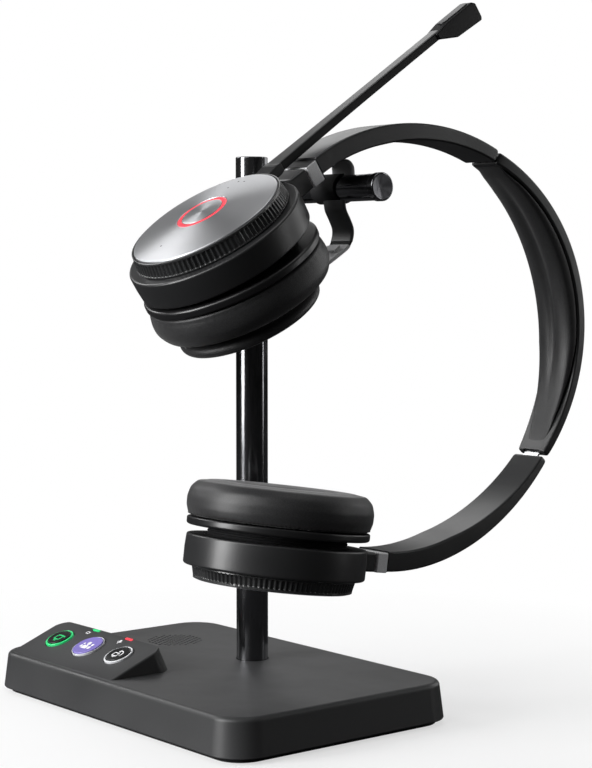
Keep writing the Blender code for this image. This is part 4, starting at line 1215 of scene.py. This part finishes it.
MOST_PUFF = 0.35  # how far a point of the cover may move
STITCHES = 132


def even_points(line, count):
    """Even spacing along a closed line, so that the cover stretches evenly."""
    closed = line + [line[0]]
    lengths = running_lengths(closed)
    points = []
    for i in range(count):
        want = lengths[-1] * i / count
        k = max(j for j in range(len(lengths)) if lengths[j] <= want + 1e-9)
        k = min(k, len(closed) - 2)
        f = (want - lengths[k]) / max(lengths[k + 1] - lengths[k], 1e-9)
        points.append(tuple(a + (b - a) * f for a, b in zip(closed[k], closed[k + 1])))
    return points


def cloth_positions(obj, profile, is_held):
    """Inflates the cover by a short cloth simulation and returns where its points went."""
    held = obj.vertex_groups.new(name="held")
    for i, (r, z) in enumerate(profile):
        if is_held(r, z):
            held.add(list(range(i * COVER_STEPS, (i + 1) * COVER_STEPS)), 1.0, "REPLACE")
    cloth = obj.modifiers.new("cloth", "CLOTH")
    settings = cloth.settings
    settings.quality = 6
    settings.mass = 0.4
    settings.tension_stiffness = settings.compression_stiffness = 18
    settings.shear_stiffness = 12
    settings.bending_stiffness = 2.5
    settings.use_pressure = True
    settings.uniform_pressure_force = 1.6
    settings.effector_weights.gravity = 0
    settings.vertex_group_mass = "held"
    cloth.point_cache.frame_start, cloth.point_cache.frame_end = 1, SIM_FRAMES
    for number in range(1, SIM_FRAMES + 1):
        bpy.context.scene.frame_set(number)
    baked = evaluated_mesh(obj)
    moved = np.array([v.co for v in baked.vertices], float).reshape(-1, 3)
    bpy.data.meshes.remove(baked)
    obj.modifiers.clear()
    bpy.context.scene.frame_set(1)
    return moved


def puffed(name, profile, is_held):
    """A ring-shaped cover, puffed up except where is_held(radius, z)."""
    work = bmesh.new()
    rings = []
    for r, z in profile:
        angles = [2 * math.pi * k / COVER_STEPS for k in range(COVER_STEPS)]
        rings.append([work.verts.new((r * math.cos(a) * MM * SIM_SCALE,
                                      r * math.sin(a) * MM * SIM_SCALE,
                                      z * MM * SIM_SCALE)) for a in angles])
    for ring_a, ring_b in zip(rings, rings[1:] + [rings[0]]):
        bridge(work, ring_a, ring_b)
    bmesh.ops.recalc_face_normals(work, faces=work.faces)
    made = new_object(name, work, WORLD)
    places = np.array([v.co for v in made.data.vertices], float).reshape(-1, 3)
    shift = cloth_positions(made, profile, is_held) - places
    size = np.linalg.norm(shift, axis=1)
    limit = MOST_PUFF * MM * SIM_SCALE
    shift *= (np.minimum(size, limit) / np.maximum(size, 1e-9))[:, None]
    places = places + shift
    places /= SIM_SCALE
    made.data.vertices.foreach_set("co", places.astype(np.float32).ravel())
    made.data.update()
    return made


def gather_cover(mesh, upper, seam_z):
    """Gathers by the seams and slow unevenness of the foam; the upper roll also leans."""
    for v in mesh.vertices:
        x, y, z = v.co / MM
        r, angle = math.hypot(x, y), math.atan2(y, x)
        if r < 15.0:
            continue
        out = Vector((x, y, 0)).normalized()
        near = math.exp(-(((z - seam_z) / 1.6) ** 2)) * (1 if z < seam_z else 0.3)
        gather = math.sin(angle * 58 + 1.7 * math.sin(angle * 5)) * 0.035 * near
        if upper:
            near = math.exp(-(((z - CREASE_Z) / 1.1) ** 2))
            gather += math.sin(angle * 47 + 2.1 * math.sin(angle * 4)) * 0.05 * near
        place = Vector((x * 0.06, y * 0.06, z * 0.10 + (7 if upper else 31)))
        slow = noise.noise(place) * 0.22 * min(1.0, max(0.0, (seam_z - z) / 3.0))
        v.co += out * (gather + slow) * MM
        if upper:
            lean = smooth_step((-30.6 + PAD_DROP - z) / 4.0)
            v.co += Vector((-0.1, -1.4, 0)) * lean * MM


def build_stitches(cup, radius, seam_z):
    """Thread in the seam under the plate."""
    work = bmesh.new()
    stitch_m = Matrix.Diagonal((0.00013, 0.00013, 0.00042, 1))
    for i in range(STITCHES):
        at = (Matrix.Rotation(2 * math.pi * i / STITCHES, 4, "Z")
              @ Matrix.Translation((radius * MM, 0, seam_z * MM))
              @ Matrix.Rotation(math.radians(90), 4, "X"))
        bmesh.ops.create_uvsphere(work, u_segments=8, v_segments=6, radius=1.0,
                                  matrix=at @ stitch_m)
    thread = to_object(f"{cup.side}_stitches", work, cup.pad_matrix, "rubber_black", 180, False)
    register(thread, f"{cup.side}_pad", "cushion_leather")


def build_cushion(cup):
    upper = cup is UPPER
    pad_body = f"{cup.side}_pad"
    section = [(r, z + PAD_DROP, *corner)
               for r, z, *corner in (UPPER_SECTION if upper else LOWER_SECTION)]
    profile = even_points(rounded(section, segments=4), COVER_POINTS)

    def is_held(r, z):
        if z > -21.9 + PAD_DROP or r < 14.2:
            return True
        if upper:
            return abs(z - CREASE_Z + 0.4) < 0.7 and r < 24.0
        return abs(r - 26.9) < 0.6 and z < -32.0 + PAD_DROP

    made = puffed(f"{cup.side}_ear_cushion", profile, is_held)
    finer = made.modifiers.new("finer", "SUBSURF")
    finer.levels = finer.render_levels = 1
    bake(made)
    mesh = made.data
    seam_z = (-22.15 if upper else -21.4) + PAD_DROP
    gather_cover(mesh, upper, seam_z)
    reshade(mesh, sharp=180)
    mesh.materials.clear()
    mesh.materials.append(PAINTS["cushion_leather"])
    made.matrix_world = cup.pad_matrix
    register(made, pad_body, "cushion_leather", f"{cup.side}_cushion")
    build_stitches(cup, 30.05 if upper else 30.28, seam_z)
    cloth = lathe(f"{cup.side}_speaker_cloth", [(r, z + PAD_DROP) for r, z in SPEAKER_SECTION],
                  cup.pad_matrix, "cone_paper", 96, closed=False)
    register(cloth, pad_body, "cone_paper")


for cup in (UPPER, LOWER):
    build_cushion(cup)


# ======================================================================
# boom microphone, along the upper cup's Y
# ======================================================================
def build_boom():
    top = -0.5
    rings = []
    for i in range(41):
        s = i / 40
        y = BOOM_START + (BOOM_END - BOOM_START) * s
        width = 4.7 + 2.2 * math.exp(-s * 3.5)
        thick = 3.0 + 0.4 * math.exp(-s * 4.0)
        rings.append([(a, y, top - thick / 2 + b)
                      for a, b in rounded_rect(width, thick, 0.62, 5)])
    boom = skin("boom_rod", rings, UPPER.matrix, "boom_top_painted_light", 40)
    # The side faces take the darker mic paint and the top keeps a lighter glossy copy: painted shade on the sides,
    # painted light on the top.
    paint_second(boom, "mic_black", lambda face: face.normal.z < 0.55)
    register(boom, "boom", "black_plastic", "boom_arm")


def build_microphone():
    at = UPPER.matrix
    side = rounded([  # y, z, corner radius
        (117.6, -3.2, 0.7), (118.9, -3.7, 1.0), (126.2, -7.0, 2.2), (MIC_END - 0.1, -7.7, 0.9),
        (MIC_END + 0.4, -6.6, 0.8), (MIC_END + 0.2, -1.2, 0.9), (MIC_END - 1.4, 0.05, 0.9),
        (124.0, 0.05, 2.5), (118.5, -0.75, 1.2), (117.6, -0.9, 0.6)], segments=6)
    head = cross_bar("mic_body", side, -3.05, 3.05, at, "mic_black", 0.55, 5)
    boolean(head, block("port", (-0.9, 134.2, -9.5), (0.9, 136.8, -6.8), at))
    finish(head, 36)
    register(head, "boom", "black_plastic", "mic_head")
    lid = slab("mic_lid", rounded_rect(3.9, 14.6, 1.7, 8), 0.0, 0.42,
               at @ Matrix.Translation((0, 130.6 * MM, 0)), "charcoal_satin", 0.3, 4)
    register(lid, "boom", "black_plastic")
    facing_down = (at @ Matrix.Translation((0, 135.5 * MM, 0))
                   @ Matrix.Rotation(math.pi, 4, "X"))
    mesh_cap = slab("mic_mesh", rounded_rect(1.7, 2.5, 0.5, 5), 6.75, 7.1, facing_down,
                    "cone_paper", 0.1, 2)
    register(mesh_cap, "boom", "steel", "mic_capsule")


build_boom()
build_microphone()


# ======================================================================
# headband, arms, pad; angles are degrees round the arc's centre from +Y towards +Z
# ======================================================================
BAND_CORNER, BAND_CROWN = 0.75, 0.2
BAND_THICK = 4.0
BAND_START = LOWER.joint_angle + LOWER.gap_angle
BAND_END = UPPER.joint_angle - UPPER.gap_angle


def arc_radius(angle):
    t = math.radians(angle)
    return (ARC_R + ARC_TWO[0] * math.cos(2 * t) + ARC_TWO[1] * math.sin(2 * t)
            + ARC_THREE[0] * math.cos(3 * t) + ARC_THREE[1] * math.sin(3 * t))


def arc_point(angle, depth=0.0):
    """(y, z) on the headband's outer curve, or depth inside it."""
    def outer(at):
        t, r = math.radians(at), arc_radius(at)
        return r * math.cos(t), r * math.sin(t)

    y, z = outer(angle)
    before, after = outer(angle - 0.5), outer(angle + 0.5)
    dy, dz = after[0] - before[0], after[1] - before[1]
    size = math.hypot(dy, dz)
    return ARC_Y + y - dz / size * depth, ARC_Z + z + dy / size * depth


def cup_point(cup, radius, z):
    """(y, z) of a point in a cup's YZ plane."""
    at = cup.matrix @ Vector((0, radius * MM, z * MM))
    return (at.y / MM, at.z / MM)


def section(outer, inner, half, inset_by=0.0):
    """A rounded rectangle across the band from an outer to an inner (y, z) point."""
    outer, inner = Vector(outer), Vector(inner)
    middle, normal = (outer + inner) / 2, (inner - outer).normalized()
    thick = (inner - outer).length - 2 * inset_by
    half -= inset_by
    corner = max(0.05, min(BAND_CORNER, thick * 0.49) - 0.3 * inset_by)
    ring = []
    for a, b in rounded_rect(2 * half, thick, corner, 6):
        if b < 0:
            b -= BAND_CROWN * (1 - (abs(a) / half) ** 2)
        point = middle + normal * b
        ring.append((BAND_X + a, point.x, point.y))
    return ring


def rounded_end(station, neighbour, radius):
    """Sections growing from an end towards its neighbour."""
    outer, inner, half = station
    outer, inner = Vector(outer), Vector(inner)
    middle = (Vector(neighbour[0]) + Vector(neighbour[1])) / 2
    along = (middle - (outer + inner) / 2).normalized()
    rings = []
    for s, c in quarter_turn(4):
        shift = along * (radius * (1 - c))
        rings.append(section(outer + shift, inner + shift, half, radius * (1 - s)))
    return rings


def band_rings(stations, start_radius, end_radius):
    """stations are (outer point, inner point, half width)."""
    start = rounded_end(stations[0], stations[1], start_radius)
    end = rounded_end(stations[-1], stations[-2], end_radius)
    return start + [section(*station) for station in stations[1:-1]] + end[::-1]


def slide_frame(cup, angle):
    """A frame inside the band: Y along it towards the cup's arm, X as the world's."""
    y, z = arc_point(angle, cup.slide_depth)
    before, after = Vector(arc_point(angle - 0.5)), Vector(arc_point(angle + 0.5))
    along = (after - before).normalized() * cup.sign
    x_axis, y_axis = Vector((1, 0, 0)), Vector((0, along.x, along.y))
    return frame_matrix(Vector((BAND_X, y, z)) * MM, x_axis, y_axis, x_axis.cross(y_axis))


def build_arm(cup):
    start = cup.joint_angle + cup.sign * cup.gap_angle
    start_thick, end_thick = cup.arm_thickness
    stations = []
    for i, angle in enumerate(span(start, cup.tip_angle, 46)):
        s = i / 45
        thick = start_thick + (end_thick - start_thick) * min(1.0, s / 0.64)
        half = (cup.arm_width + (16.0 - cup.arm_width) * min(1.0, s / 0.5)) / 2
        stations.append((arc_point(angle), arc_point(angle, thick), half))
    at_cup = [cup_point(cup, 43.4, cup.neck_z + side * cup.neck_half) for side in (1, -1)]
    halfway = [Vector(a) * 0.5 + Vector(b) * 0.5 for a, b in zip(stations[-1], at_cup)]
    stations += [(*halfway, 8.0), (*at_cup, 8.0)]
    arm = skin(f"{cup.side}_arm_sleeve", band_rings(stations, 1.3, 0.3), WORLD,
               "charcoal_satin", 40, weigh=False)
    boolean(arm, block("slot", (-4.0, -2.0, -0.65), (4.0, 8.0, 0.65), slide_frame(cup, start)))
    finish(arm, 38)
    register(arm, f"headset_{cup.side}", "charcoal_satin", f"{cup.side}_arm")


def along_band(angle):
    """0 at the lower joint, 1 at the upper."""
    return (angle - LOWER.joint_angle) / (UPPER.joint_angle - LOWER.joint_angle)


def band_width(angle, end, middle, power):
    return end + (middle - end) * math.sin(math.pi * along_band(angle)) ** power


def band_thick(angle):
    s = (angle - BAND_START) / (BAND_END - BAND_START)
    return BAND_THICK - 0.9 * (1 - s) ** 4 + 0.4 * s**6


def blade(name, cup, y0, y1, half_x, half_z, paint, roof=None):
    """A flat blade along the slide, curving in with the band at its inner end."""
    rings = []
    for y in span(y0, y1, 13):
        bend = 0.9 * (max(0.0, -y) / 15.0) ** 2
        low, high = bend - half_z, roof or bend + half_z
        ring = [(x, y, cup.sign * (z + (low + high) / 2))
                for x, z in rounded_rect(2 * half_x, high - low, 0.17, 3)]
        rings.append(ring[::cup.sign])
    return skin(name, rings, slide_frame(cup, cup.joint_angle), paint, 40)


def build_band():
    stations = [(arc_point(angle), arc_point(angle, band_thick(angle)),
                 band_width(angle, 13.0, 18.0, 0.7) / 2)
                for angle in span(BAND_START, BAND_END, 74)]
    shell = skin("headband_shell", band_rings(stations, 0.7, 0.7), WORLD, "charcoal_satin", 40,
                 weigh=False)
    for cup in (UPPER, LOWER):
        boolean(shell, blade("slot", cup, -15.6, 3.0, 4.0, 0.6, None, roof=1.4))
        slide = blade(f"{cup.side}_slide", cup, -15.0, 9.0, 3.7, 0.35, "steel")
        register(slide, f"headset_{cup.side}", "steel", f"{cup.side}_strip")
    finish(shell, 38)
    register(shell, "headband", "charcoal_satin", "band_shell")


def pad_ring(angle, s):
    """A section of the inner pad, s from 0 to 1 along it: two lobes with a channel between
    them on a narrower foot, thinning out at each end."""
    fade = min(1.0, s / 0.10, (1 - s) / 0.05) ** 0.75
    puff = 0.12 + fade * (0.35 + 0.4 * s + 5.0 * math.sin(math.pi * s**1.2) ** 1.15)
    half = band_width(angle, 12.4, 17.6, 0.75) / 2
    half *= 0.55 + 0.45 * min(1.0, s / 0.34) ** 0.8
    half *= 0.86 + 0.14 * min(1.0, (1 - s) / 0.12)
    base = band_thick(angle) + 0.06 - 0.55 * (1 - fade)
    foot = half - min(1.1, 0.35 + puff * 0.3)
    rise = min(0.75, puff * 0.35)
    channel_depth = 0.27 * min(1.0, max(0.0, (puff - 0.8) / 3.0)) * (puff - rise)
    floor_line = [(-foot * 0.6, base), (0.0, base), (foot * 0.6, base)]
    walls = [(foot, base), (foot + 0.02, base + rise * 0.55), (half - 0.12, base + rise)]
    face = []
    steps = 34
    for k in range(steps + 1):
        u = 1 - 2 * k / steps
        at_edge = k in (0, steps)
        lobe = (1 - abs(u) ** 2.6) ** 0.42
        height = (puff - rise) * (0.28 + 0.72 * lobe) * (0.9 if at_edge else 1.0)
        channel = channel_depth * math.exp(-(((u + 0.02) / 0.24) ** 2))
        face.append((half * u * (0.998 if at_edge else 1.0), base + rise + height - channel))
    mirrored = [(-x, depth) for x, depth in reversed(walls)]
    return [(BAND_X + x, *arc_point(angle, depth))
            for x, depth in floor_line + walls + face + mirrored]


def build_band_pad():
    angles = span(LOWER.joint_angle + 1.6, UPPER.joint_angle - 1.2, 110)
    rings = [pad_ring(angle, i / 109) for i, angle in enumerate(angles)]
    register(skin("headband_pad", rings, WORLD, "cushion_leather", 50),
             "headband", "cushion_leather", "band_pad")


build_arm(UPPER)
build_arm(LOWER)
build_band()
build_band_pad()

# CAD nodes that stay visible take the finish of their slot.
for row in frame["record"]["subparts"]:
    node = frame["nodes"][row["node"]]
    if not node.hide_render:
        node.data.materials.clear()
        node.data.materials.append(PAINTS[row["material_slot"]])


# ======================================================================
# floor, light, camera; lengths here are metres
# ======================================================================
def floor_material():
    """Evenly lit white paper to the camera, with a soft contact shadow near the stand.
    To other rays it is nearly black."""
    shader = Shader("pale_floor", Roughness=0.65, Specular_IOR_Level=0.2)
    cloud = shader.texture("Noise", Scale=2.0, Detail=2.0)
    shader.drive(shader.blend(cloud, (0.93, 0.93, 0.935), (0.95, 0.95, 0.955)), "Base Color")
    paper = shader.add("Emission", Strength=1.0)
    reach = shader.calculate("VectorMath", "LENGTH", shader.place).outputs["Value"]
    fade = shader.remap(reach, span=(0.10, 0.26), to=(0.60, 1.0))
    lit = shader.add("MixShader")
    shader.link(fade, lit, "Fac")
    shader.link(shader.surface.outputs[0], lit, 1)
    shader.link(paper.outputs[0], lit, 2)
    dim = shader.add("BsdfDiffuse", Color=(0.05, 0.05, 0.052, 1))
    ray = shader.add("LightPath")
    seen = shader.add("MixShader")
    shader.link(ray.outputs["Is Camera Ray"], seen, "Fac")
    shader.link(dim.outputs[0], seen, 1)
    shader.link(lit.outputs[0], seen, 2)
    shader.link(seen.outputs[0], shader.tree.nodes["Material Output"], "Surface")
    return shader.material


def build_floor():
    paint = floor_material()
    work = bmesh.new()
    bmesh.ops.create_grid(work, x_segments=2, y_segments=2, size=30.0)
    to_object("studio_floor", work, Matrix.Translation((0, 0, -0.0002)), paint,
                       weigh=False)


def build_world():
    """White to the camera, a dim fill to everything else."""
    world = bpy.data.worlds.new("studio")
    bpy.context.scene.world = world
    world.use_nodes = True
    nodes, links = world.node_tree.nodes, world.node_tree.links
    white = (1, 1, 1, 1)
    dim = fill(nodes["Background"], Color=white, Strength=0.07)
    bright = fill(nodes.new("ShaderNodeBackground"), Color=white, Strength=1.0)
    path = nodes.new("ShaderNodeLightPath")
    choose = nodes.new("ShaderNodeMixShader")
    links.new(path.outputs["Is Camera Ray"], choose.inputs["Fac"])
    links.new(dim.outputs["Background"], choose.inputs[1])
    links.new(bright.outputs["Background"], choose.inputs[2])
    links.new(choose.outputs["Shader"], nodes["World Output"].inputs["Surface"])


LIGHT_TARGET = Vector((0.02, 0.02, 0.12))


def softbox(name, at, size, watts):
    data = bpy.data.lights.new(name, "AREA")
    data.shape = "RECTANGLE"
    data.size, data.size_y = size
    data.energy = watts
    lamp = bpy.data.objects.new(name, data)
    bpy.context.scene.collection.objects.link(lamp)
    lamp.location = at
    lamp.rotation_euler = (LIGHT_TARGET - Vector(at)).to_track_quat("-Z", "Y").to_euler()


def build_camera():
    data = bpy.data.cameras.new("camera")
    data.lens, data.sensor_width, data.sensor_fit = 88.25, 36.0, "AUTO"
    data.clip_start, data.clip_end = 0.01, 100.0
    camera = bpy.data.objects.new("camera", data)
    bpy.context.scene.collection.objects.link(camera)
    turn, down = math.radians(50.8689), math.radians(3.4988)  # left of +Y, below level
    ahead = Vector((-math.sin(turn) * math.cos(down), math.cos(turn) * math.cos(down),
                    -math.sin(down)))
    right = Vector((math.cos(turn), math.sin(turn), 0))
    camera.matrix_world = frame_matrix((0.5328, -0.3967, 0.1551), right, right.cross(ahead),
                                       -ahead)
    bpy.context.scene.camera = camera


build_floor()
build_world()
softbox("key_left", at=(-0.34, -1.16, 0.42), size=(0.46, 0.95), watts=21.0)
softbox("left_side", at=(-1.00, -0.31, 0.75), size=(0.34, 0.6), watts=4.0)
softbox("right_strip", at=(0.78, 1.00, 0.30), size=(0.12, 0.95), watts=1.8)
softbox("top", at=(0.05, 0.10, 1.25), size=(0.7, 0.7), watts=2.3)
softbox("rear_left", at=(-0.84, 0.74, 0.90), size=(0.66, 0.66), watts=2.5)
softbox("rear_fill", at=(0.02, 1.25, 0.50), size=(0.8, 0.8), watts=3.0)
softbox("camera_fill", at=(0.14, -1.05, 0.85), size=(0.7, 0.7), watts=5.0)
build_camera()

bpy.context.scene.view_settings.view_transform = "Standard"
bpy.context.scene.view_settings.look = "None"
